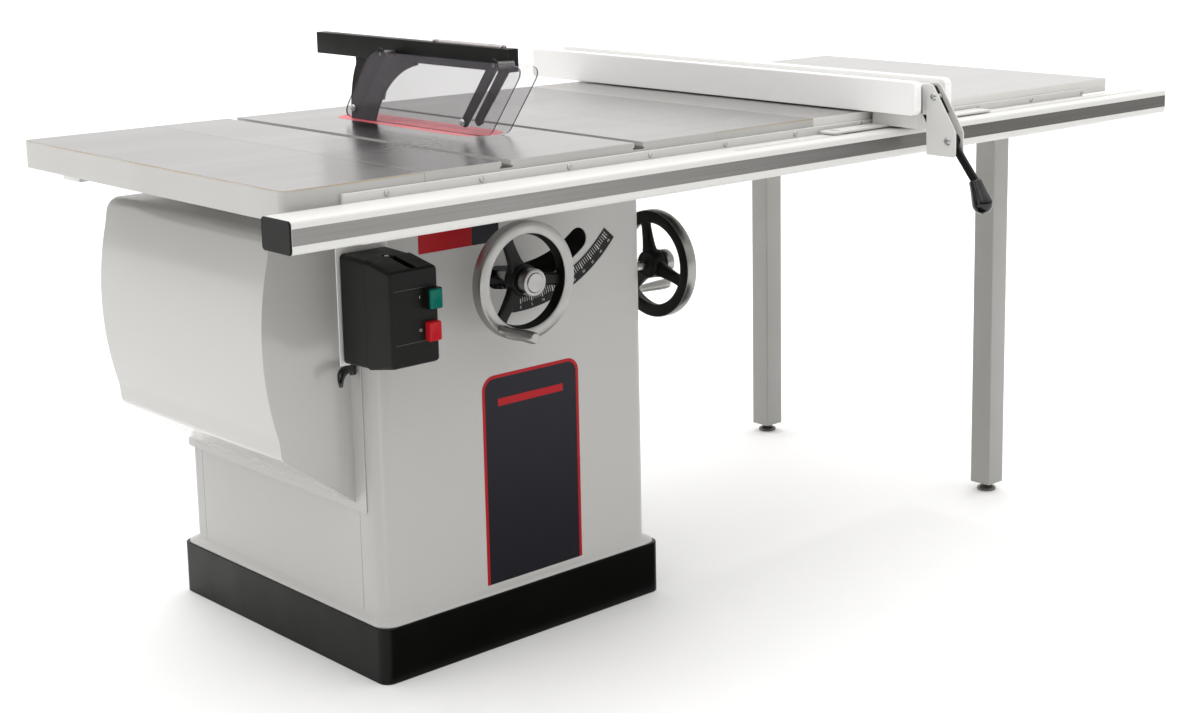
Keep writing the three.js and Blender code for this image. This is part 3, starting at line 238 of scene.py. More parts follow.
def piece(name, body, looks, shapes, stands_for=(), cuts=(), bevel=0.0, smooth=35, segments=3):
    """A visible piece that rides on a body. looks is one material or a list, by the shapes' tones."""
    obj = bpy.data.objects.new(name, mesh_from(name, shapes))
    bpy.context.scene.collection.objects.link(obj)
    if cuts:
        carve(obj, cuts)
    for look in looks if isinstance(looks, (list, tuple)) else [looks]:
        obj.data.materials.append(look)
    obj.data.shade_smooth()
    obj.data.set_sharp_from_angle(angle=math.radians(smooth))
    if bevel:
        rounding = obj.modifiers.new("rounding", "BEVEL")
        rounding.width = bevel * MM
        rounding.segments = segments
        rounding.limit_method = "ANGLE"
        rounding.angle_limit = math.radians(smooth)
        rounding.harden_normals = True
    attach(obj, body)
    if stands_for:
        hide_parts(*stands_for)
    return obj


def lettering(text, size, depth):
    """The mesh of a short generic text, such as a dial number, as a shape centred at the origin in XY."""
    curve = bpy.data.curves.new("lettering", "FONT")
    curve.body = text
    curve.size = size
    curve.extrude = depth
    curve.align_x = "CENTER"
    curve.align_y = "CENTER"
    holder = bpy.data.objects.new("lettering", curve)
    bpy.context.scene.collection.objects.link(holder)
    depsgraph = bpy.context.evaluated_depsgraph_get()
    depsgraph.update()
    mesh = bpy.data.meshes.new_from_object(holder.evaluated_get(depsgraph))
    shape = ([tuple(v.co) for v in mesh.vertices], [tuple(p.vertices) for p in mesh.polygons],
             [0] * len(mesh.polygons))
    bpy.data.objects.remove(holder)
    return shape


# ---- Materials -----------------------------------------------------------------------------------
class Nodes:
    """A short way to write shader nodes."""

    def __init__(self, name):
        self.look = bpy.data.materials.new(name)
        self.look.use_nodes = True
        self.tree = self.look.node_tree
        self.shader = self.tree.nodes["Principled BSDF"]
        self.where = self.node("ShaderNodeTexCoord").outputs["Object"]

    def node(self, kind, **settings):
        made = self.tree.nodes.new(kind)
        for key, value in settings.items():
            setattr(made, key, value)
        return made

    def feed(self, socket, value):
        if isinstance(value, bpy.types.NodeSocket):
            self.tree.links.new(value, socket)
        elif value is not None:
            socket.default_value = value

    def math(self, operation, a, b=None, clamp=False):
        made = self.node("ShaderNodeMath", operation=operation, use_clamp=clamp)
        self.feed(made.inputs[0], a)
        self.feed(made.inputs[1], b)
        return made.outputs[0]

    def noise(self, scale, detail=3.0, stretch=(1, 1, 1)):
        mapping = self.node("ShaderNodeMapping")
        self.feed(mapping.inputs["Vector"], self.where)
        mapping.inputs["Scale"].default_value = stretch
        made = self.node("ShaderNodeTexNoise")
        self.feed(made.inputs["Vector"], mapping.outputs[0])
        made.inputs["Scale"].default_value = scale
        made.inputs["Detail"].default_value = detail
        return made.outputs["Fac"]

    def ramp(self, value, low, high, out_low=0.0, out_high=1.0):
        made = self.node("ShaderNodeMapRange")
        for socket, v in zip(made.inputs, (value, low, high, out_low, out_high)):
            self.feed(socket, v)
        return made.outputs[0]

    def mix(self, factor, a, b):
        made = self.node("ShaderNodeMix", data_type="RGBA")
        self.feed(made.inputs["Factor"], factor)
        self.feed(made.inputs["A"], (*a, 1) if isinstance(a, tuple) else a)
        self.feed(made.inputs["B"], (*b, 1) if isinstance(b, tuple) else b)
        return made.outputs["Result"]

    def axes(self):
        made = self.node("ShaderNodeSeparateXYZ")
        self.feed(made.inputs[0], self.where)
        return made.outputs

    def normal_axes(self):
        made = self.node("ShaderNodeSeparateXYZ")
        self.feed(made.inputs[0], self.node("ShaderNodeNewGeometry").outputs["Normal"])
        return made.outputs

    def edge_mask(self, radius):
        """1 along worn outer edges, broken up by noise."""
        soft = self.node("ShaderNodeBevel", samples=4)
        soft.inputs["Radius"].default_value = radius * MM
        dot = self.node("ShaderNodeVectorMath", operation="DOT_PRODUCT")
        self.feed(dot.inputs[0], soft.outputs[0])
        self.feed(dot.inputs[1], self.node("ShaderNodeNewGeometry").outputs["Normal"])
        edge = self.ramp(dot.outputs["Value"], 0.985, 0.88)
        return self.math("MULTIPLY", edge, self.ramp(self.noise(60), 0.42, 0.6), clamp=True)

    def bump(self, height, strength, distance):
        made = self.node("ShaderNodeBump")
        made.inputs["Strength"].default_value = strength
        made.inputs["Distance"].default_value = distance * MM
        self.feed(made.inputs["Height"], height)
        self.feed(self.shader.inputs["Normal"], made.outputs[0])


def shade(colour, amount):
    return tuple(min(1.0, c * amount) for c in colour)


def finish(name, colour, roughness, metallic=0.0, vary=0.06, vary_scale=5, stretch=(1, 1, 1),
           grain=400, grain_strength=0.08, grain_depth=0.1, coat=0.0, wear=None, wear_radius=0.6, spread=0.06,
           shine=0.5):
    """A surface with uneven colour and sheen, fine grain in relief and, if wear is a colour, worn edges."""
    n = Nodes(name)
    patches = n.noise(vary_scale, 4.0, stretch)
    tint = n.mix(n.ramp(patches, 0.3, 0.7), shade(colour, 1 - vary), shade(colour, 1 + vary))
    sheen = n.ramp(n.noise(vary_scale * 3.1, 5.0, stretch), 0.3, 0.7, roughness - spread, roughness + spread)
    if wear:
        mask = n.edge_mask(wear_radius)
        tint = n.mix(mask, tint, wear)
    n.feed(n.shader.inputs["Base Color"], tint)
    n.feed(n.shader.inputs["Roughness"], sheen)
    n.shader.inputs["Metallic"].default_value = metallic
    n.shader.inputs["Coat Weight"].default_value = coat
    n.shader.inputs["Specular IOR Level"].default_value = shine
    n.shader.inputs["Coat Roughness"].default_value = 0.08
    if grain:
        n.bump(n.noise(grain, 2.0, stretch), grain_strength, grain_depth)
    return n


ENAMEL_CHIP = (0.30, 0.29, 0.27)
CABINET = finish("cabinet_paint", (0.52, 0.515, 0.498), 0.36, vary=0.01, vary_scale=2, grain=900,
                 grain_strength=0.02, grain_depth=0.02, spread=0.015, shine=0.35).look
COVER = finish("cover_paint", (0.50, 0.495, 0.478), 0.22, vary=0.01, vary_scale=2, grain=700,
               grain_strength=0.02, grain_depth=0.02, coat=0.3, spread=0.02).look
RAIL = finish("rail_paint", (0.70, 0.695, 0.675), 0.36, vary=0.01, vary_scale=2, grain=900,
              grain_strength=0.02, grain_depth=0.02, spread=0.015, shine=0.35).look
LEG = finish("leg_paint", (0.36, 0.355, 0.34), 0.38, vary=0.03, grain=150, wear=ENAMEL_CHIP).look
BLACK = finish("black_enamel", (0.0035, 0.0035, 0.003), 0.36, vary=0.15, grain=220, grain_strength=0.05,
               wear=(0.02, 0.02, 0.018), shine=0.2).look
GUARD = finish("guard_black", (0.006, 0.006, 0.0055), 0.44, vary=0.15, grain=600, grain_strength=0.1,
               wear=(0.03, 0.03, 0.03), shine=0.15).look
PLASTIC = finish("black_plastic", (0.0055, 0.0055, 0.005), 0.42, vary=0.1, grain=1400, grain_strength=0.2,
                 grain_depth=0.05, spread=0.03, shine=0.16).look
KNOB = finish("gloss_black_plastic", (0.005, 0.005, 0.005), 0.12, vary=0.1, grain=200, grain_strength=0.03,
              shine=0.5).look
CASTING = finish("raw_casting", (0.10, 0.10, 0.11), 0.62, metallic=0.3, vary=0.25, vary_scale=20, grain=260,
                 grain_strength=0.6, grain_depth=0.6, wear=(0.32, 0.31, 0.30)).look
STEEL = finish("bright_steel", (0.52, 0.52, 0.51), 0.24, metallic=1.0, vary=0.08, vary_scale=14,
               grain=500, grain_strength=0.1, wear=(0.7, 0.7, 0.7)).look
DARK_STEEL = finish("dark_steel", (0.17, 0.165, 0.155), 0.40, metallic=0.9, vary=0.25, vary_scale=30,
                    grain=420, grain_strength=0.25, wear=(0.45, 0.44, 0.42)).look
MOTOR = finish("motor_black", (0.02, 0.021, 0.024), 0.42, vary=0.2, grain=300, grain_strength=0.3,
               wear=(0.12, 0.12, 0.12)).look
RUBBER = finish("belt_rubber", (0.018, 0.018, 0.018), 0.75, vary=0.3, vary_scale=40, grain=900,
                grain_strength=0.5, stretch=(3, 1, 1)).look
POLISHED = finish("polished_iron", (0.37, 0.366, 0.355), 0.34, metallic=1.0, vary=0.06, vary_scale=18,
                  grain=300, grain_strength=0.06, wear=(0.7, 0.7, 0.7)).look
RED = finish("insert_red", (0.80, 0.17, 0.195), 0.42, vary=0.04, grain=120, grain_strength=0.03,
             shine=0.12).look
GREEN_BUTTON = finish("start_green", (0.0, 0.125, 0.092), 0.3, vary=0.05, grain=300, shine=0.12).look
RED_BUTTON = finish("stop_red", (0.42, 0.010, 0.016), 0.3, vary=0.05, grain=300, shine=0.12).look
DECAL_DARK = finish("decal_dark", (0.016, 0.015, 0.022), 0.42, vary=0.04, grain=0, spread=0.01,
                    shine=0.2).look
DECAL_RED = finish("decal_red", (0.42, 0.008, 0.014), 0.42, vary=0.03, grain=0, spread=0.01,
                   shine=0.2).look
PRINT_GREY = finish("print_grey", (0.09, 0.09, 0.09), 0.5, vary=0.05, grain=800).look
WHITE_PRINT = finish("white_print", (0.55, 0.55, 0.53), 0.5, vary=0.05, grain=800).look
DARK_GAP = finish("dark_gap", (0.01, 0.01, 0.01), 0.7, vary=0.2, grain=300).look


def ground_iron(name, oxide, light=1.0, edge=1.0):
    """A ground top with faint grinding lines along X; painted edges; oxide is a tan line under the rim. light
    scales the top's colours as painted reflection brightness; edge scales the edge paint's colours.
    """
    n = Nodes(name)
    lines = n.noise(40, 6.0, (0.25, 9, 1))
    stains = n.noise(3.2, 4.0)
    # The top's colours are scaled by light: painted reflection brightness.
    top = n.mix(n.ramp(lines, 0.35, 0.65), shade((0.33, 0.320, 0.315), light), shade((0.36, 0.350, 0.344), light))
    top = n.mix(n.ramp(stains, 0.35, 0.75, 0.0, 0.35), top, shade((0.30, 0.290, 0.285), light))
    up = n.math("GREATER_THAN", n.normal_axes()["Z"], 0.5)
    paint = n.mix(n.ramp(n.noise(6), 0.3, 0.7), shade((0.47, 0.465, 0.45), edge), shade((0.50, 0.495, 0.48), edge))
    height = n.axes()["Z"]
    if oxide:
        high = box("left_wing").z1 * MM
        rust = n.ramp(height, high - 0.0032, high - 0.0012)
        rust = n.math("MULTIPLY", rust, n.ramp(n.noise(9, 5.0, (1, 1, 0.1)), 0.35, 0.6, 0.25, 0.9))
        paint = n.mix(rust, paint, (0.42, 0.30, 0.17))
    n.feed(n.shader.inputs["Base Color"], n.mix(up, paint, top))
    n.feed(n.shader.inputs["Metallic"], up)
    sheen = n.ramp(n.noise(5, 5.0, (0.4, 2, 1)), 0.3, 0.7, 0.21, 0.28)
    n.feed(n.shader.inputs["Roughness"], sheen)
    n.bump(lines, 0.04, 0.04)
    return n.look


def rail_stripe_material():
    """Bare brushed steel, drawn lengthwise, with its colour darker towards +X."""
    n = Nodes("bare_rail_steel")
    lines = n.noise(60, 6.0, (0.05, 8, 8))
    brushed = n.mix(n.ramp(lines, 0.3, 0.7), (0.24, 0.235, 0.228), (0.31, 0.304, 0.295))
    darker_steel = n.mix(n.ramp(lines, 0.3, 0.7), (0.10, 0.097, 0.092), (0.15, 0.146, 0.14))
    # The colour goes from the brushed tone to a darker tone towards +X.
    n.feed(n.shader.inputs["Base Color"], n.mix(n.ramp(n.axes()["X"], -0.2, 0.9), brushed, darker_steel))
    n.shader.inputs["Metallic"].default_value = 1.0
    n.feed(n.shader.inputs["Roughness"], n.ramp(lines, 0.3, 0.7, 0.34, 0.46))
    n.bump(lines, 0.1, 0.05)
    return n.look


def polyethylene():
    """Milky, slightly translucent plastic with faint tool marks."""
    n = finish("fence_poly", (0.95, 0.94, 0.93), 0.34, vary=0.01, vary_scale=8, stretch=(1, 0.3, 1),
               grain=300, grain_strength=0.08, wear=(0.88, 0.87, 0.86), wear_radius=2.0)
    n.shader.inputs["Subsurface Weight"].default_value = 0.25
    n.shader.inputs["Subsurface Radius"].default_value = (0.012, 0.010, 0.010)
    n.shader.inputs["Subsurface Scale"].default_value = 0.4
    return n.look


def clear_sheet(name, colour, alpha):
    n = finish(name, colour, 0.08, vary=0.04, vary_scale=9, grain=40, grain_strength=0.03, coat=0.1,
               spread=0.03)
    n.feed(n.shader.inputs["Alpha"], n.ramp(n.noise(4), 0.3, 0.7, alpha * 0.9, alpha * 1.1))
    return n.look


def turned_metal(name, colour, centre, axis, pitch=0.5):
    """Lathe-cut metal with rings about an axis through centre."""
    n = finish(name, colour, 0.3, metallic=1.0, vary=0.05, vary_scale=20, grain=0)
    offset = n.node("ShaderNodeVectorMath", operation="SUBTRACT")
    n.feed(offset.inputs[0], n.where)
    offset.inputs[1].default_value = Vector(centre) * MM
    cross = n.node("ShaderNodeVectorMath", operation="CROSS_PRODUCT")
    n.feed(cross.inputs[0], offset.outputs[0])
    cross.inputs[1].default_value = axis
    radius = n.node("ShaderNodeVectorMath", operation="LENGTH")
    n.feed(radius.inputs[0], cross.outputs[0])
    rings = n.math("SINE", n.math("MULTIPLY", radius.outputs["Value"], 2 * math.pi / (pitch * MM)))
    n.bump(rings, 0.05, 0.01)
    return n.look


# The tops share one ground-iron shader; the light factor makes each top lighter or darker as painted reflection,
# brightest on the extension table.
TABLE_IRON = ground_iron("ground_iron_main", False, 0.92)
WING_IRON = ground_iron("ground_iron_wing", True, 0.85)
LAMINATE = ground_iron("table_laminate", False, 1.35, 1.5)
BARE_RAIL = rail_stripe_material()
POLY = polyethylene()
CLEAR = clear_sheet("clear_shield", (0.20, 0.185, 0.21), 0.17)
CLEAR_EDGE = clear_sheet("clear_shield_edge", (0.055, 0.04, 0.11), 0.95)
CLEAR_STRIP = clear_sheet("clear_strip", (0.72, 0.62, 0.62), 0.55)


# ---- Plinth and cabinet --------------------------------------------------------------------------
def centred(half_x, half_y, r, steps=10):
    return rounded(-half_x, half_x, -half_y, half_y, r, steps)


def make_plinth():
    b = box("plinth")
    piece("plinth_look", "base", BLACK, [prism("z", centred(b.x1, b.y1, 20), b.z0, b.z1)],
          ["plinth"], bevel=1.6)


def slot_outline():
    """The arc slot that the front handwheel's shaft sweeps along."""
    middle, half, start, end = 229, 20, -10.6, 36.3
    a, b = tilt_point(middle, start), tilt_point(middle, end)
    lower = [tilt_point(middle + half, start + (end - start) * k / 24) for k in range(25)]
    upper = [tilt_point(middle - half, end + (start - end) * k / 24) for k in range(25)]
    return (lower[:-1] + arc(*b, half, end - 90, end + 90, 12) + upper[1:-1]
            + arc(*a, half, start + 90, start + 270, 12)[:-1])


def make_cabinet():
    half_x, half_y, r, sheet = 289.5, 304.5, 28, 2.5
    low, high = box("cabinet_shell").z0, box("cabinet_shell").z1
    flare = [(13, 0), (13, 2), (12.2, 3.2), (6, 7), (1.5, 10), (0, 13)]
    rings = [(centred(half_x + grow, half_y + grow, r), low + up) for grow, up in flare]
    rings.append((centred(half_x, half_y, r), high))
    tilt = pivot("tilt_crank_turn")
    dust = box("dust_port")
    cuts = [
        loft("z", [(centred(half_x - sheet, half_y - sheet, r - sheet), low + 3),
                   (centred(half_x - sheet, half_y - sheet, r - sheet), high - 3)]),
        prism("z", centred(half_x - 16, half_y - 16, 14), high - 10, high + 5),
        prism("x", rounded(-215, 265, 300, 735, 20), -half_x - 5, -half_x + 10),
        prism("y", slot_outline(), -half_y - 5, -half_y + 10),
        rod("x", tilt.y, tilt.z, half_x - 10, half_x + 5, 13),
        rod("y", (dust.x0 + dust.x1) / 2, (dust.z0 + dust.z1) / 2, half_y - 10, half_y + 5, 44),
        block(-half_x - 1, -half_x + 0.8, -242.7, -241.5, low + 14, 279),
        block(-half_x - 1, -half_x + 0.8, 256.5, 257.7, low + 14, 279),
    ]
    piece("cabinet_look", "base", CABINET, [loft("z", rings)], ["cabinet_shell"], cuts)


def make_decals():
    """Plain panels in the places and colours of the printed ones, with no lettering or marks."""
    front = -304.5
    left, right, top, low = -81, 130, 473, box("cabinet_shell").z0 + 13
    red = arc(right - 25, top - 25, 25, 0, 90, 10) + arc(left + 25, top - 25, 25, 90, 180, 10)
    red += [(left, low), (right, low)]
    rim = 6
    dark = (arc(right - 25, top - 25, 25 - rim, 0, 90, 10) + arc(left + 25, top - 25, 25 - rim, 90, 180, 10)
            + [(left + rim, low), (right - rim, low)])
    piece("decal_border", "base", DECAL_RED, [prism("y", red, front - 0.25, front - 0.02)])
    piece("decal_panel", "base", DECAL_DARK, [prism("y", dark, front - 0.45, front - 0.2)])
    piece("decal_bar", "base", DECAL_RED, [block(-48, 94, front - 0.6, front - 0.4, 418, 431)])
    split = -92
    piece("badge_left", "base", DECAL_RED,
          [prism("y", rounded(-199, split, 700, 741, 2), front - 0.6, front - 0.02)])
    tail = [(split, 700), (-52, 700), (-36, 714), (-36, 741), (split, 741)]
    piece("badge_right", "base", DECAL_DARK, [prism("y", tail, front - 0.6, front - 0.02)])


def make_tilt_scale():
    b = box("tilt_scale_plate")
    piece("tilt_scale_look", "base", BLACK,
          [prism("y", tilt_sector(262, 290.5, -2.4, 48.6), b.y0, b.y1)],
          ["tilt_scale_plate"], bevel=0.25)
    marks = []
    offset = 1.15
    for degree in range(0, 47):
        major = degree % 5 == 0
        a = degree + offset
        reach, half = (277.5, 0.2) if major else (275.5, 0.1)
        marks.append(prism("y", tilt_sector(264, reach, a - half, a + half, 1), b.y0 - 0.12, b.y0 + 0.1))
    for degree in range(0, 46, 5):
        a = degree + offset
        x, z = tilt_point(284, a)
        place = (Matrix.Translation((x, b.y0, z)) @ Matrix.Rotation(math.radians(-a), 4, "Y")
                 @ Matrix.Rotation(math.radians(90), 4, "X"))
        marks.append(moved(lettering(str(degree), 6.2, 0.1), place))
    piece("tilt_scale_marks", "base", WHITE_PRINT, marks)


def make_dust_port():
    b = box("dust_port")
    x, z, r, wall = (b.x0 + b.x1) / 2, (b.z0 + b.z1) / 2, 50, 3
    collar = turned("y", x, z, [
        (r - wall, b.y0), (r, b.y0), (r, b.y1 - 8), (r + 0.0, b.y1 - 6), (r - 0.6, b.y1), (r - wall, b.y1),
        (r - wall, b.y0)], 72)
    half = (b.x1 - b.x0) / 2
    plate = prism("y", rounded(x - half, x + half, z - half, z + half, 12), b.y0, b.y0 + wall)
    screws = [rod("y", x + i * (half - 12), z + j * (half - 12), b.y0 + wall, b.y0 + wall + 2, 4.5, 0.6)
              for i in (-1, 1) for j in (-1, 1)]
    piece("dust_plate", "base", BLACK, [plate], ["dust_port"],
          cuts=[rod("y", x, z, b.y0 - 5, b.y0 + 10, r - wall, segments=72)], bevel=0.5)
    piece("dust_collar", "base", BLACK, [collar])
    piece("dust_screws", "base", DARK_STEEL, screws)


# ---- Motor cover ---------------------------------------------------------------------------------
def cover_profile(inset):
    x0, mid_x, mid_z, r = -289.8, 98.9, 578.3, 549.4 - inset
    top = 755 - inset
    return ([(x0, top)] + arc(-404, 728, 27 - inset, 90, 165, 10) + arc(mid_x, mid_z, r, 166, 196.4, 40)
            + arc(-402 + inset * 0.2, 405, 25 - inset, 198, 245, 10) + [(x0, 290 + inset)])


def make_motor_cover():
    b = box("motor_cover")
    face = b.x1
    front, rear, sheet = -235, 282, 2
    shell = prism("y", cover_profile(0), front, rear)
    room = prism("y", cover_profile(sheet), front + sheet, rear - sheet)
    open_side = block(face - sheet - 1, face + 2, front + sheet, rear - sheet, 293, 750)
    piece("motor_cover_look", "cover", COVER, [shell], ["motor_cover"],
          cuts=[room, open_side], bevel=1.6, smooth=40, segments=4)
    flange = prism("x", rounded(b.y0, 300, b.z0, b.z1, 5), face - sheet, face)
    hole = prism("x", rounded(front + sheet, rear - sheet, 293, 750, 4), face - 10, face + 5)
    piece("motor_cover_flange", "cover", COVER, [flange], cuts=[hole], bevel=0.6)
    hinge = pivot("motor_cover_open")
    knuckles = [rod("z", hinge.x, hinge.y, 300 + 44 * k + 0.6, 344 + 44 * k - 0.6, 4.4, 0.5, 24)
                for k in range(10)]
    piece("motor_cover_hinge", "cover", COVER, knuckles)


def make_cover_latch():
    """A curved finger that hooks outwards and down from the cover's front flange."""
    b = box("cover_latch")
    low, high = b.z0 + 3.8, b.z1 - 6
    start, knee = Vector((b.x1 - 4, -254.5, high - 4)), Vector((-331, -262, high + 9))
    end = Vector((-333, -270.5, low))
    path = [start * (1 - t) ** 2 + knee * 2 * t * (1 - t) + end * t * t for t in (k / 14 for k in range(15))]
    radii = [4.4 + 3.2 * math.sin(math.pi * k / 14) - 0.22 * max(0, k - 7) for k in range(15)]
    boss = prism("z", bar((b.x1 - 4, -254), 4, (b.x1 - 8, -255), 4, 10), high - 12, high + 5)
    piece("cover_latch_look", "latch", KNOB, [sweep(path, radii), boss], ["cover_latch"],
          bevel=0.8, smooth=50)


# ---- Tables --------------------------------------------------------------------------------------
def cast_plate(b, plate, rim, corner=0.6):
    """A table casting: a ground plate with a deep rim; corner rounds the two left corners."""
    outline = [(b.x1, b.y0), (b.x1, b.y1)]
    outline += arc(b.x0 + corner, b.y1 - corner, corner, 90, 180, 8)
    outline += arc(b.x0 + corner, b.y0 + corner, corner, 180, 270, 8)
    return (prism("z", outline, b.z0, b.z1),
            block(b.x0 + rim, b.x1 - rim, b.y0 + rim, b.y1 - rim, b.z0 - 1, b.z1 - plate))


def make_main_table():
    b = box("main_table")
    whole, under = cast_plate(b, 18, 12)
    seat = box("throat_insert")
    ledge = 4
    cuts = [under,
            prism("z", stadium(seat.x0 - 0.3, seat.x1 + 0.3, seat.y0 - 0.3, seat.y1 + 0.3),
                  seat.z0 - 0.3, b.z1 + 1),
            prism("z", stadium(seat.x0 + ledge, seat.x1 - ledge, seat.y0 + ledge, seat.y1 - ledge),
                  b.z0 - 5, b.z1),
            block(-6, 25, -223, -150, b.z0 - 5, seat.z0)]
    for x in (-150.7, 125.5):
        cuts.append(block(x - 9.5, x + 9.5, b.y0 - 1, b.y1 + 1, b.z1 - 11.5, b.z1 + 1))
        cuts.append(block(x - 12.5, x + 12.5, b.y0 - 1, b.y1 + 1, b.z1 - 11.5, b.z1 - 7.9))
    piece("main_table_look", "base", TABLE_IRON, [whole], ["main_table"], cuts, bevel=0.8)
    ribs = [block(x - 5, x + 5, b.y0 + 1, -326, b.z1 - 40, b.z1 - 17.5) for x in (-225, -75, 75, 225)]
    piece("main_table_ribs", "base", CASTING, ribs)


def make_wings():
    for side in ("left", "right"):
        b = box(f"{side}_wing")
        whole, under = cast_plate(b, 12, 10, 14 if side == "left" else 0.6)
        piece(f"{side}_wing_look", "base", WING_IRON, [whole], [f"{side}_wing"], [under],
              bevel=0.7)
        piece(f"{side}_wing_rib", "base", CASTING, [
            block(b.x0 + 9, b.x1 - 9, -81, -71, b.z1 - 38, b.z1 - 11)])
    b = box("extension_table")
    piece("extension_table_look", "base", LAMINATE, [block(*(b.x0, b.x1, b.y0, b.y1, b.z0, b.z1))],
          ["extension_table"], bevel=0.8)


def make_insert():
    b = box("throat_insert")
    kerf = prism("y", [(-3, b.z1 + 1), (-3, b.z0 - 1), (9.6, b.z0 - 1), (3.4, b.z1 - 0.2), (3.4, b.z1 + 1)],
                 -217.6, 162)
    cuts = [kerf, rod("z", 8, 193, b.z1 - 1.2, b.z1 + 2, 4), rod("z", 55, -185, b.z1 - 1.2, b.z1 + 2, 4)]
    piece("throat_insert_look", "base", RED, [
        prism("z", stadium(b.x0, b.x1, b.y0, b.y1, 28), b.z0, b.z1)],
        ["throat_insert"], cuts, bevel=0.5)


# ---- Rails ---------------------------------------------------------------------------------------
def make_rails():
    b = box("front_rail_tube")
    wall = 3
    section = rounded(b.y0, b.y1, b.z0, b.z1, 6, 8)
    bore = rounded(b.y0 + wall, b.y1 - wall, b.z0 + wall, b.z1 - wall, 3.5, 4)
    piece("front_rail_look", "base", RAIL, [prism("x", section, b.x0, b.x1)], ["front_rail_tube"],
          cuts=[prism("x", bore, b.x0 - 5, b.x1 + 5)])
    stripe = block(b.x0 + 0.5, b.x1 - 1, b.y0 - 0.12, b.y0 + 0.3, 801, 825)
    piece("rail_stripe", "base", BARE_RAIL, [stripe])
    tape_y = b.y0 + 36
    piece("rule_tape", "base", WHITE_PRINT, [
        block(WING_RIGHT_X, b.x1 - 30, tape_y - 6, tape_y + 6, b.z1 - 0.3, b.z1 + 0.15)])
    ticks = []
    count = int((b.x1 - 40 - WING_RIGHT_X) // 25.4 * 4)
    for k in range(count):
        x = WING_RIGHT_X + 4 + k * 6.35
        reach = 9 if k % 4 == 0 else 4.5
        ticks.append(block(x - 0.2, x + 0.2, tape_y - 6, tape_y - 6 + reach, b.z1 + 0.1, b.z1 + 0.2))
    piece("rule_ticks", "base", DARK_GAP, ticks)
    cap = box("rail_end_cap")
    piece("rail_cap_look", "base", PLASTIC, [
        loft("x", [(rounded(cap.y0 + 1.2, cap.y1 - 1.2, cap.z0 + 1.2, cap.z1 - 1.2, 5, 8), cap.x0),
                   (section, cap.x0 + 1.2), (section, b.x0 - 0.3)]),
        prism("x", rounded(b.y0 + 3.3, b.y1 - 3.3, b.z0 + 3.3, b.z1 - 3.3, 3.2, 8), b.x0 - 1, cap.x1),
    ], ["rail_end_cap"])


WING_RIGHT_X = box("right_wing").x0


def countersunk(x, y, z, toward):
    """A flat screw head with a round recess in its top, on a face that looks along toward * Y."""
    head = turned("y", x, z, [(0, y + toward * 1.2), (2.2, y + toward * 1.2), (2.2, y + toward * 1.7),
                              (4.2, y + toward * 1.7), (4.9, y + toward * 0.6), (4.9, y - toward * 0.8),
                              (0, y - toward * 0.8)], 24)
    return head


def make_angles():
    b = box("front_rail_angle")
    tube = box("front_rail_tube")
    thick = 6.5
    back = box("main_table").y0 - 0.3
    face = back - thick
    low = tube.z0 - 0.3
    lip = tube.y0 + 30
    profile = [(back, b.z1), (face, b.z1), (face, low), (lip, low), (lip, low - thick), (back, low - thick)]
    piece("front_angle_look", "base", RAIL, [prism("x", profile, b.x0, b.x1)], ["front_rail_angle"],
          bevel=0.9)
    heads = []
    x = -379
    while x < b.x1:
        heads.append(countersunk(x, face, b.z1 - 7, -1))
        x += 174.7
    piece("front_angle_screws", "base", STEEL, heads)
    b = box("rear_rail_angle")
    low = 780
    profile = [(b.y0, b.z1), (b.y0, low), (b.y1, low), (b.y1, low + thick), (b.y0 + thick, low + thick),
               (b.y0 + thick, b.z1)]
    piece("rear_angle_look", "base", RAIL, [prism("x", profile, b.x0, b.x1)], ["rear_rail_angle"],
          bevel=0.9)
    bolts = []
    x = -379
    while x < b.x1:
        bolts.append(rod("y", x, 842, b.y0 + thick, b.y0 + thick + 3.6, 6, 0.6, 6))
        x += 349.4
    piece("rear_angle_bolts", "base", DARK_STEEL, bolts)


# ---- Legs and feet -------------------------------------------------------------------------------
def make_legs():
    for place in ("front", "rear"):
        leg, foot = box(f"leg_{place}"), box(f"foot_{place}")
        x, y = (foot.x0 + foot.x1) / 2, (foot.y0 + foot.y1) / 2
        s = 24.5
        tube = prism("z", [(x + u, y + v) for u, v in rounded(-s, s, -s, s, 3.2, 6)], leg.z0, leg.z1 - 3.5)
        plate = prism("z", rounded(leg.x0, leg.x1, leg.y0, leg.y1, 3), leg.z1 - 4, leg.z1)
        piece(f"leg_{place}_look", "base", LEG, [tube, plate], [f"leg_{place}"],
              cuts=[rod("z", x, y, leg.z0 - 2, leg.z0 + 90, 5.8)], bevel=0.5)
        pad = turned("z", x, y, [
            (0, 0), (17.5, 0), (19.4, 0.8), (20, 2.2), (20, 4), (19, 5.4), (13, 8.6), (9, 9.4),
            (5.4, 9.6), (5.4, foot.z1), (0, foot.z1)], 48)
        nut = rod("z", x, y, 9.2, 14.2, 9, 0.8, 6)
        piece(f"foot_{place}_look", f"{place}_foot", DARK_STEEL, [pad, nut], [f"foot_{place}"],
              smooth=28)


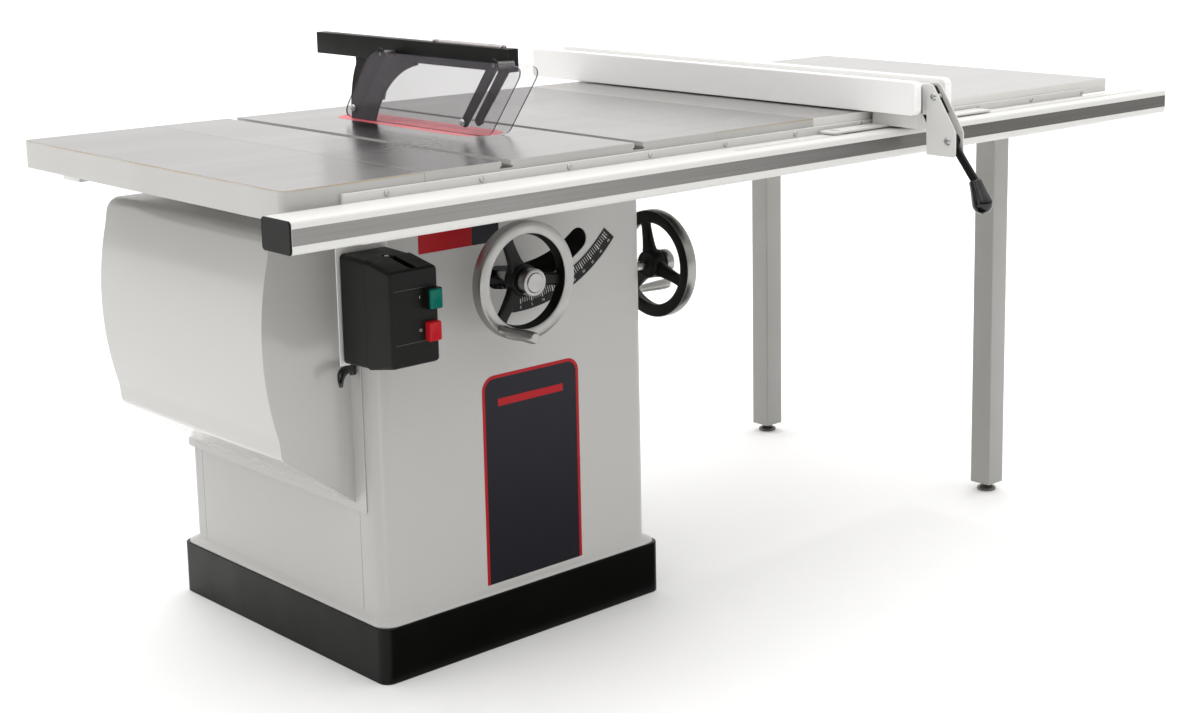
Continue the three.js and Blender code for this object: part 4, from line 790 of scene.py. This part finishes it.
# ---- Switch --------------------------------------------------------------------------------------
def make_switch():
    hanger, base, cover = box("switch_hanger"), box("switch_base"), box("switch_cover")
    piece("switch_hanger_look", "base", RAIL, [
        block(hanger.x0, hanger.x1, hanger.y1 - 2.5, hanger.y1, hanger.z0, hanger.z1),
        block(hanger.x0, hanger.x1, hanger.y0, hanger.y1, hanger.z1 - 2.5, hanger.z1)],
        ["switch_hanger"], bevel=0.5)

    def ring(dx, dz, r):
        return rounded(base.x0 + dx, base.x1 - dx, base.z0 + dz, base.z1 - dz, r, 8)

    piece("switch_base_look", "base", PLASTIC, [
        loft("y", [(ring(0.6, 3.2, 6), base.y0), (ring(0.1, 2.6, 7), base.y0 + 2), (ring(0, 0, 7), base.y1)])],
        ["switch_base"],
        [prism("z", rounded(-310, -296, base.y0 - 5, -358, 5, 5), base.z1 - 4.5, base.z1 + 5)], bevel=0.8)
    face, part = -440, cover.y1
    start, stop = box("start_button"), box("stop_button")
    shell = loft("y", [(ring(3.2, 14.8, 4), face), (ring(1.8, 13.2, 5), face + 1.6),
                       (ring(1.0, 11.6, 6.4), face + 4.5), (ring(0.4, 0.6, 7), part)])
    mid_x = (start.x0 + start.x1) / 2
    mid_z = (start.z0 + start.z1) / 2
    collar = prism("y", rounded(mid_x - 12.5, mid_x + 12.5, mid_z - 16.4, mid_z + 16.4, 2, 4),
                   cover.y0, face + 1)
    grow = 0.4
    wells = [block(b.x0 - grow, b.x1 + grow, cover.y0 - 1, face + 16, b.z0 - grow, b.z1 + grow)
             for b in (start, stop)]
    groove = [prism("z", rounded(-309, -297, face + 4, part + 5, 4, 5), base.z1 - 16, base.z1 + 5)]
    piece("switch_cover_look", "base", PLASTIC, [shell], ["switch_cover"], wells + groove,
          bevel=0.7)
    piece("start_collar", "base", PLASTIC, [collar], cuts=wells[:1], bevel=0.6)
    for name, look, slot, b, glyph in (("start", GREEN_BUTTON, "start_green", start, "I"),
                                       ("stop", RED_BUTTON, "stop_red", stop, "O")):
        x0, x1, z0, z1 = b.x0, b.x1, b.z0, b.z1
        cap = loft("y", [
            (rounded(x0 + 2.6, x1 - 2.6, z0 + 2.6, z1 - 2.6, 1.6, 5), b.y0 + 0.9),
            (rounded(x0 + 1.6, x1 - 1.6, z0 + 1.6, z1 - 1.6, 2.0, 5), b.y0),
            (rounded(x0 + 0.5, x1 - 0.5, z0 + 0.5, z1 - 0.5, 2.4, 5), b.y0 + 0.5),
            (rounded(x0, x1, z0, z1, 2.4, 5), b.y0 + 1.8), (rounded(x0, x1, z0, z1, 2.4, 5), face + 6)])
        piece(f"{name}_button_look", name, look, [cap], [f"{name}_button"], smooth=50)
        place = (Matrix.Translation((x0 - 9, face, (z0 + z1) / 2 + 3))
                 @ Matrix.Rotation(math.radians(90), 4, "X"))
        piece(f"{name}_mark", "base", WHITE_PRINT, [moved(lettering(glyph, 6.5, 0.12), place)])
    edge_lines = [block(-343, -268, face - 0.12, face + 0.05, z, z + 0.5) for z in (681, 597)]
    piece("switch_label_edges", "base", PRINT_GREY, edge_lines)
    seam = prism("y", ring(0.7, 2.4, 7), part - 0.4, part + 0.6)
    piece("switch_seam", "base", DARK_GAP, [seam])
    head = turned("z", -303, -366, [
        (0, base.z1 - 5), (4.2, base.z1 - 5), (4.2, base.z1 - 2.6), (3.2, base.z1 - 1.4),
        (1.2, base.z1 - 1.4), (1.2, base.z1 - 2.6), (0, base.z1 - 2.6)], 24)
    piece("switch_screw", "base", STEEL, [head])


# ---- Handwheels ----------------------------------------------------------------------------------
def wheel_place(centre, right, up, out, spin):
    """Local X, Y and Z to the frame: Z looks out of the wheel's face."""
    turn = Matrix((right, up, out)).transposed().to_4x4()
    return Matrix.Translation(centre) @ turn @ Matrix.Rotation(math.radians(spin), 4, "Z")


def make_wheel(prefix, place, axis):
    outer, inner, half = 99, 79, 10.5
    rim_profile = [
        (97.6, -half), (98.6, -half + 0.5), (outer, -half + 1.6), (outer, half - 1.6), (98.6, half - 0.5),
        (97.6, half), (inner + 1.6, half), (inner + 0.5, half - 0.4), (inner, half - 1.4),
        (inner - 1.6, 0), (inner - 3.4, -half + 2.5), (inner - 2.4, -half + 0.6), (inner - 1, -half),
        (97.6, -half)]
    bright, black = 0, 1
    tones = [bright] * 6 + [bright, bright, black, black, black, black, black]
    rim = turned("z", 0, 0, rim_profile, 128, tones=tones)
    hub = turned("z", 0, 0, [
        (0, -22), (23.5, -22), (25, -20.5), (26, -6), (27, 1.4), (26.6, 3.2), (25, 4), (21, 4.2), (20.4, 5),
        (20, 8), (0, 8)], 72, tone=black)
    spokes = []
    for angle in (113, 233, 353):
        rings = []
        for x, wide, low, high in ((14, 15.5, -16, 0.5), (26, 14, -15.4, 0), (34, 12, -14.8, -0.4),
                                   (50, 10.8, -13, -0.8), (66, 10.4, -11.4, -1), (74, 11.4, -10.2, -1),
                                   (80, 15, -9.9, -1), (84, 20, -9.8, -1)):
            rings.append((rounded(-wide, wide, low, high, 4.2, 5), x))
        spokes.append(moved(loft("x", rings, black), Matrix.Rotation(math.radians(angle), 4, "Z")))
    crank = math.radians(233)
    cx, cy = 91 * math.cos(crank), 91 * math.sin(crank)
    boss = turned("z", cx, cy, [(0, -9.5), (8, -9.5), (8, 12.6), (7.2, 13.8), (0, 13.8)], 40, tone=bright)
    stud = rod("z", cx, cy, 13, 90.5, 3.7, 0.4, 24, bright)
    wheel = [moved(s, place) for s in (rim, hub, boss, stud, *spokes)]
    shaft_end = moved(rod("z", 0, 0, -30, 12, 7.8, 0.5, 32, bright), place)
    piece(f"{prefix}_wheel_look", f"{prefix}_crank", [POLISHED, BLACK], wheel, [f"{prefix}_handwheel"],
          smooth=38)
    piece(f"{prefix}_wheel_shaft_end", f"{prefix}_crank", STEEL, [shaft_end])
    centre = place.translation
    chrome = turned_metal(f"{prefix}_knob_metal", (0.36, 0.357, 0.35), centre, axis)
    knob = turned("z", 0, 0, [
        (0, 10.5), (20.6, 10.5), (22.3, 11.2), (23, 12.6), (23, 26.6), (22.4, 28), (21, 28.5), (17.6, 28.5),
        (17.1, 28.1), (16.8, 28.1), (16.4, 28.6), (16.1, 30.0), (15.4, 30.5), (3, 30.3), (0, 30.2)], 96)
    piece(f"{prefix}_knob_look", f"{prefix}_knob", chrome, [moved(knob, place)], [f"{prefix}_lock_knob"],
          smooth=30)
    grip = turned("z", cx, cy, [
        (4.2, 14.5), (7.7, 14.5), (8.5, 15.2), (8.5, 17.4), (7.6, 19.2), (7.3, 24), (7.6, 34), (8.4, 48),
        (9.2, 62), (9.7, 74), (9.8, 84), (9.3, 90), (8.4, 93.4), (7.6, 94.3), (0, 94.5), (0, 91.2),
        (4.2, 91.2), (4.2, 14.5)], 56)
    piece(f"{prefix}_grip_look", f"{prefix}_grip", POLISHED, [moved(grip, place)],
          [f"{prefix}_crank_handle"], smooth=32)


def make_wheels():
    for prefix, right, up, out, spin in (
            ("height", (1, 0, 0), (0, 0, 1), (0, -1, 0), 0), ("tilt", (0, 1, 0), (0, 0, 1), (1, 0, 0), 84)):
        centre = pivot(f"{prefix}_crank_turn")
        knob = box(f"{prefix}_lock_knob")
        if prefix == "height":
            centre.y = knob.y1 + 10.5
        else:
            centre.x = knob.x0 - 10.5
        make_wheel(prefix, wheel_place(centre, right, up, out, spin), out)


# ---- Guard ---------------------------------------------------------------------------------------
def make_guard_spine():
    b = box("guard_spine")
    y0, y1, z0, z1, half = -312, 250, 978, 1016.5, 10.8
    top = rounded(-half, half, z0, z1, 1.4, 4)
    piece("guard_bar", "cradle", GUARD, [prism("y", top, y0, y1)], ["guard_spine"],
          bevel=0.8)
    # A black sliver down the bar's front-left corner: painted shade for the dark gap at the bar's end.
    corner_shade = [block(-half - 0.1, -half + 0.9, y0 - 0.1, y0 + 0.9, z0 + 2, z1 - 5)]
    piece("guard_bar_corner_shade", "cradle", DARK_GAP, corner_shade)
    arc_y, arc_z, r, end = -75, 801, 174, 80.5
    start = math.degrees(math.atan2(861 - arc_z, 86 - arc_y))
    outline = ([(86, b.z0), (86, 860)] + arc(arc_y, arc_z, r, start, end, 30)
               + [(arc_y + r * math.cos(math.radians(end)), z0 + 4), (142, z0 + 4)]
               + bend((142, z0 + 4), (138, 964), (144, 958))[1:]
               + bend((144, 958), (158, 930), (161, 890))[1:] + [(161, b.z0)])
    pawl = pivot("pawl_lift")
    piece("splitter", "cradle", GUARD, [prism("x", outline, -1.5, 1.5)],
          cuts=[rod("x", pawl.y, pawl.z, -20, 20, 3.8)], bevel=0.35)
    pins = []
    for side, x in (("left", -43.7), ("right", 34.7)):
        out = -1 if x < 0 else 1
        lead = "left_front_link_swing" if side == "left" else "right_shield_lift"
        for joint in (lead, f"{side}_rear_link_swing"):
            p = pivot(joint)
            ends = sorted((0, x + out * -2.1))
            pins.append(rod("x", p.y, p.z, *ends, 3.5, 0.5, 24))
            pins.append(rod("x", p.y, p.z, *sorted((0, x - out * 6.2)), 6, 0.6, 24))
    piece("guard_pins", "cradle", DARK_STEEL, pins)
    piece("guard_strip", "cradle", CLEAR_STRIP, [block(-1.5, 1.5, -290, -94, z1 - 0.4, z1 + 5)],
          bevel=0.3)
    cross = [rod("x", y, z1 + 2.2, -6, 6, 2.4, 0.4, 20) for y in (-285, -99)]
    piece("guard_strip_pins", "cradle", STEEL, cross)


def make_links():
    span = (82, -100)
    for side, x, out in (("left", -43.7, -1), ("right", 34.7, 1)):
        fronts = {"left": "left_front_link_swing", "right": "right_shield_lift"}
        for end, joint in (("front", fronts[side]), ("rear", f"{side}_rear_link_swing")):
            p = pivot(joint)
            low = (p.y + span[0], p.z + span[1])
            near, far = sorted((x + out * -2.4, x + out * -5.6))
            outline = bar((p.y, p.z), 10.8, low, 8.6, 20)
            piece(f"guard_{side}_{end}_link_look", f"{side}_{end}_link", GUARD,
                  [prism("x", outline, near, far)], [f"guard_link_{side}_{end}"],
                  cuts=[rod("x", p.y, p.z, near - 5, far + 5, 3.8)], bevel=0.5)
            rivet = turned("x", *low, [
                (0, x - out * 4), (3.5, x - out * 4), (3.5, x + out * 1.8), (6.5, x + out * 1.8),
                (6.3, x + out * 3.2), (5.0, x + out * 4.6), (2.6, x + out * 5.3), (0, x + out * 5.4)], 40)
            piece(f"guard_{side}_{end}_rivet", f"{side}_{end}_link", STEEL, [rivet])


def shield_outline(shift_y, shift_z):
    corners = [(32, 996, 24), (-396, 996, 34), (-300, 874, 16), (126, 874, 34)]
    points = [Vector((y + shift_y, z + shift_z)) for y, z, _ in corners]
    outline = []
    for k, corner in enumerate(points):
        before, after, reach = points[k - 1], points[(k + 1) % 4], corners[k][2]
        a = corner + (before - corner).normalized() * reach
        b = corner + (after - corner).normalized() * reach
        outline += bend(tuple(a), tuple(corner), tuple(b), 12)
    return outline


def make_shields():
    for side, x, shift, front in (("left", -43.7, (0, 0), "left_front_link_swing"),
                                  ("right", 34.7, (52, -9), "right_shield_lift")):
        outline = shield_outline(*shift)
        count = len(outline)
        points, faces, marks = prism("x", outline, x - 1.5, x + 1.5)
        marks = [0, 0] + [1] * count
        holes = []
        for joint in (front, f"{side}_rear_link_swing"):
            p = pivot(joint)
            holes.append(rod("x", p.y + 82, p.z - 100, x - 5, x + 5, 3.8))
        piece(f"guard_{side}_shield_look", f"{side}_shield", [CLEAR, CLEAR_EDGE], [(points, faces, marks)],
              [f"guard_shield_{side}"], cuts=holes, bevel=0.3)


def make_pawls():
    p = pivot("pawl_lift")
    reach, teeth = 40, 7

    def at(r, degrees):
        return (p.y + r * math.cos(math.radians(degrees)), p.z + r * math.sin(math.radians(degrees)))

    outline = arc(p.y, p.z, 9, -60, 100, 16) + [at(reach - 4, 172)]
    for k in range(teeth):
        outline += [at(reach, 176 + 6 * k), at(reach - 3.5, 178 + 6 * k)]
    plates = [prism("x", outline, -4.8, -1.8), prism("x", outline, 1.8, 4.8)]
    piece("pawls_look", "pawls", GUARD, plates + [rod("x", p.y, p.z, -7, 7, 3.5, 0.5, 24)],
          ["kickback_pawls"], bevel=0.3)


# ---- Fence ---------------------------------------------------------------------------------------
def make_fence():
    for side in ("left", "right"):
        b = box(f"fence_face_{side}")
        outline = rounded(b.y0, b.y1, b.z0, b.z1, 12, 10)
        piece(f"fence_{side}_look", "fence", POLY, [prism("x", outline, b.x0, b.x1)],
              [f"fence_face_{side}"], bevel=2.0, segments=4)
    b = box("fence_beam")
    piece("fence_beam_look", "fence", RAIL, [
        prism("y", rounded(b.x0, b.x1, b.z0, b.z1, 4, 6), b.y0, b.y1)], ["fence_beam"],
        cuts=[prism("y", rounded(b.x0 + 3, b.x1 - 3, b.z0 + 3, b.z1 - 3, 2, 4), b.y0 - 5, b.y1 + 5)])
    make_fence_head()
    make_lever()


def make_fence_head():
    mid = (box("fence_face_left").x0 + box("fence_face_right").x1) / 2
    rail_top = box("front_rail_tube").z1
    low = box("fence_face_left").z0
    plate = [(-590, 920)] + bend((-606, 921.4), (-614, 922), (-618.5, 915), 6)
    plate += bend((-661.7, 848.6), (-667, 840), (-668, 836), 6)
    plate += arc(-663, 798, 5, 180, 270, 6) + [(-602, 793), (-601, 850), (-592, 866)]
    lever = pivot("fence_lever_lift")
    for k, left in enumerate((-15, 7)):
        piece(f"clamp_plate_{k}", "fence", RAIL, [prism("x", plate, mid + left, mid + left + 3)],
              ["fence_head"] if k == 0 else (),
              cuts=[rod("x", lever.y, lever.z, mid - 30, mid + 30, 4.5)], bevel=0.5)
    piece("clamp_web", "fence", RAIL, [
        block(mid - 15, mid + 10, -600.5, -598.8, 868, 900),
        block(mid - 15, mid + 10, -602, -585, rail_top + 4, 866),
        block(mid - 30, mid + 30, -590, -486, rail_top + 4, low + 1.7)], bevel=0.6)
    bar_outline = rounded(mid - 177, mid + 280, -523, -486, 6, 6)
    windows = [prism("z", stadium(mid - 160, mid - 148, -518, -491), rail_top - 5, rail_top + 12),
               prism("z", stadium(mid + 120, mid + 132, -518, -491), rail_top - 5, rail_top + 12)]
    piece("clamp_cross_bar", "fence", RAIL, [prism("z", bar_outline, rail_top + 2, rail_top + 6)],
          cuts=windows, bevel=0.5)
    rivet = [(0, -17.4), (3.4, -17.2), (5.8, -16.4), (7, -15), (7, -14.2), (5, -14.2), (5, 9.6), (7, 9.6),
             (7, 10.2), (5.8, 11.6), (3.4, 12.3), (0, 12.5)]
    piece("clamp_rivet", "fence", STEEL, [
        turned("x", -617, 899, [(r, mid + h) for r, h in rivet], 40)], smooth=30)
    web = [(-597, 917), (-607, 917), (-637, 870), (-622, 870)]
    piece("clamp_spacer", "fence", PLASTIC, [prism("x", web, mid - 11.8, mid + 6.8)],
          bevel=1)


def make_lever():
    p = pivot("fence_lever_lift")
    mid = p.x if abs(p.x) > 1 else (box("fence_face_left").x0 + box("fence_face_right").x1) / 2
    start, end = Vector((-55, -68)), Vector((-79, -123))
    along = end - start
    knob_profile = [(0, -2), (10.6, -2), (11.8, -1.2), (12.2, 0.6), (13.0, 8), (14.6, 18), (16.6, 28),
                    (18.2, 36)] + arc(0, 42, 19, 0, 90, 14)
    lean = math.atan2(-along.x, along.y)
    place = (Matrix.Translation((mid - 2.5, p.y + start.x, p.z + start.y)) @ Matrix.Rotation(lean, 4, "X"))
    knob = moved(turned("z", 0, 0, [(r, h * along.length / 61) for r, h in knob_profile], 64), place)
    piece("lever_knob", "fence_clamp", KNOB, [knob], ["fence_lever"], smooth=45)
    arm = bar((p.y, p.z), 7, (p.y + start.x, p.z + start.y), 7, 12)
    cam = bar((p.y, p.z), 13, (p.y + 6, p.z - 4), 13, 20)
    piece("lever_arm", "fence_clamp", GUARD, [
        prism("x", arm, mid - 6, mid + 1), prism("x", cam, mid - 11.5, mid + 6.5)],
        bevel=0.8)
    pin = [(0, -18.4), (3.2, -18.2), (5.8, -17.4), (7, -16), (7, -15.5), (3.5, -15.5), (3.5, 10.5),
           (7, 10.5), (7, 11.2), (5.8, 12.6), (3.2, 13.4), (0, 13.5)]
    piece("lever_pin", "fence_clamp", STEEL, [
        turned("x", p.y, p.z, [(r, mid + h) for r, h in pin], 40)], smooth=30)


# ---- Blade and the working parts inside ----------------------------------------------------------
def make_blade():
    b = box("saw_blade")
    y, z = (b.y0 + b.y1) / 2, pivot("arbor_spin").z
    y = pivot("arbor_spin").y
    teeth, outer = 32, 151.8
    outline = []
    for k in range(teeth):
        a = 360 * k / teeth
        step = 360 / teeth
        outline += arc(y, z, outer, a - 0.3 * step, a, 1)
        outline += [tuple(c) for c in arc(y, z, outer - 12, a + 0.1 * step, a + 0.35 * step, 4)]
    steel = turned_metal("blade_steel", (0.42, 0.42, 0.425), (0, y, z), (1, 0, 0), 1.4)
    piece("saw_blade_look", "arbor", steel, [prism("x", outline, -1.1, 1.1)], ["saw_blade"],
          cuts=[rod("x", y, z, -5, 5, 12.3)], bevel=0.15)
    tips = []
    for k in range(teeth):
        a = 360 * k / teeth
        step = 360 / teeth
        tip = arc(y, z, outer + 0.5, a - 0.16 * step, a, 1) + arc(y, z, outer - 7, a, a - 0.1 * step, 1)
        tips.append(prism("x", tip, -1.3, 1.3))
    piece("blade_tips", "arbor", STEEL, tips)


INSIDE = {
    "trunnion_bracket_front": CASTING, "trunnion_bracket_rear": CASTING, "trunnion_cradle": CASTING,
    "arm_pivot_shaft": STEEL, "arbor_arm": CASTING, "motor": MOTOR, "drive_belt_1": RUBBER,
    "drive_belt_2": RUBBER, "drive_belt_3": RUBBER, "arbor_shaft": STEEL, "arbor_pulley": CASTING,
    "arbor_nut": DARK_STEEL, "motor_pulley": CASTING, "height_worm_shaft": STEEL, "tilt_worm_shaft": STEEL,
}


def dress_inside():
    """CAD parts that keep their own shape get a material and small rounded edges."""
    for name, look in INSIDE.items():
        node = frame["nodes"][name]
        node.data.materials.clear()
        node.data.materials.append(look)
        rounding = node.modifiers.new("rounding", "BEVEL")
        rounding.width = 0.5 * MM
        rounding.segments = 2
        rounding.limit_method = "ANGLE"
        rounding.angle_limit = math.radians(35)


# ---- Studio --------------------------------------------------------------------------------------
def make_floor():
    mesh = bpy.data.meshes.new("floor")
    reach = 40
    mesh.from_pydata([(-reach, -reach, 0), (reach, -reach, 0), (reach, reach, 0), (-reach, reach, 0)], [],
                     [(0, 1, 2, 3)])
    floor = bpy.data.objects.new("floor", mesh)
    bpy.context.scene.collection.objects.link(floor)
    mesh.materials.append(finish("floor_pale", (0.97, 0.97, 0.968), 0.7, vary=0.004, grain=0).look)


def softbox(name, place, target, size, power):
    light = bpy.data.lights.new(name, "AREA")
    light.shape = "RECTANGLE"
    light.size, light.size_y = size
    light.energy = power
    holder = bpy.data.objects.new(name, light)
    holder.location = place
    holder.rotation_mode = "QUATERNION"
    holder.rotation_quaternion = (Vector(target) - Vector(place)).to_track_quat("-Z", "Y")
    bpy.context.scene.collection.objects.link(holder)


def make_light():
    """A white room that is brighter overhead and behind the machine; the camera sees plain white."""
    world = bpy.data.worlds.new("studio")
    world.use_nodes = True
    tree = world.node_tree
    tree.nodes.clear()

    def node(kind, *inputs, **settings):
        made = tree.nodes.new(kind)
        for key, value in settings.items():
            setattr(made, key, value)
        for socket, value in zip(made.inputs, inputs):
            if isinstance(value, bpy.types.NodeSocket):
                tree.links.new(value, socket)
            elif value is not None:
                socket.default_value = value
        return made

    direction = node("ShaderNodeTexCoord").outputs["Generated"]
    rear_right = node("ShaderNodeVectorMath", direction, (0.72, 0.69, 0), operation="DOT_PRODUCT")
    height = node("ShaderNodeSeparateXYZ", direction).outputs["Z"]
    overhead = node("ShaderNodeMath", height, 0.0, operation="MAXIMUM").outputs[0]
    side = node("ShaderNodeMath", rear_right.outputs["Value"], 0.60, 0.27, operation="MULTIPLY_ADD")
    mixed = node("ShaderNodeMath", overhead, 1.75, side.outputs[0], operation="MULTIPLY_ADD")
    total = node("ShaderNodeMath", mixed.outputs[0], 0.06, operation="MAXIMUM")
    seen = node("ShaderNodeLightPath").outputs["Is Camera Ray"]
    room = node("ShaderNodeBackground", (1.0, 0.995, 0.985, 1), total.outputs[0])
    white = node("ShaderNodeBackground", (1, 1, 1, 1), 1.0)
    both = node("ShaderNodeMixShader", seen, room.outputs[0], white.outputs[0])
    node("ShaderNodeOutputWorld", both.outputs[0])
    bpy.context.scene.world = world
    softbox("key", (-2.6, -2.8, 4.0), (-0.1, -0.2, 0.5), (2.2, 2.2), 12)
    softbox("window", (-4.0, -0.4, 1.9), (-0.3, 0, 0.6), (0.7, 1.8), 9)
    bpy.context.scene.view_settings.view_transform = "Standard"


def make_flag():
    """A dark card that only mirror-like surfaces see, on the floor in front of the machine."""
    mesh = bpy.data.meshes.new("front_flag")
    mesh.from_pydata([(-0.3, -1.1, 0.002), (1.0, -1.1, 0.002), (1.0, -0.33, 0.002), (-0.3, -0.33, 0.002)],
                     [], [(0, 1, 2, 3)])
    flag = bpy.data.objects.new("front_flag", mesh)
    bpy.context.scene.collection.objects.link(flag)
    mesh.materials.append(finish("flag_black", (0.01, 0.01, 0.01), 0.9, vary=0.1, grain=0, shine=0.0).look)
    for kind in ("camera", "diffuse", "shadow", "transmission", "volume_scatter"):
        setattr(flag, f"visible_{kind}", False)


def make_camera():
    """From the left front corner, a little above the table."""
    yaw, pitch, roll = (math.radians(a) for a in (44.678, 10.65, -0.479))
    forward = Vector((math.sin(yaw) * math.cos(pitch), math.cos(yaw) * math.cos(pitch), -math.sin(pitch)))
    right = forward.cross(Vector((0, 0, 1))).normalized()
    up = right.cross(forward)
    rolled = right * math.cos(roll) + up * math.sin(roll)
    raised = up * math.cos(roll) - right * math.sin(roll)
    lens = bpy.data.cameras.new("camera")
    lens.sensor_width = 36
    lens.lens = 58.0
    lens.shift_x, lens.shift_y = -0.1003, -0.0991
    lens.clip_end = 200
    camera = bpy.data.objects.new("camera", lens)
    turn = Matrix((rolled, raised, -forward)).transposed()
    camera.matrix_world = Matrix.Translation((-1.9928, -2.8072, 1.2957)) @ turn.to_4x4()
    bpy.context.scene.collection.objects.link(camera)
    bpy.context.scene.camera = camera


make_plinth()
make_cabinet()
make_decals()
make_tilt_scale()
make_dust_port()
make_motor_cover()
make_cover_latch()
make_main_table()
make_wings()
make_insert()
make_rails()
make_angles()
make_legs()
make_switch()
make_wheels()
make_guard_spine()
make_links()
make_shields()
make_pawls()
make_fence()
make_blade()
dress_inside()
make_floor()
make_light()
make_flag()
make_camera()
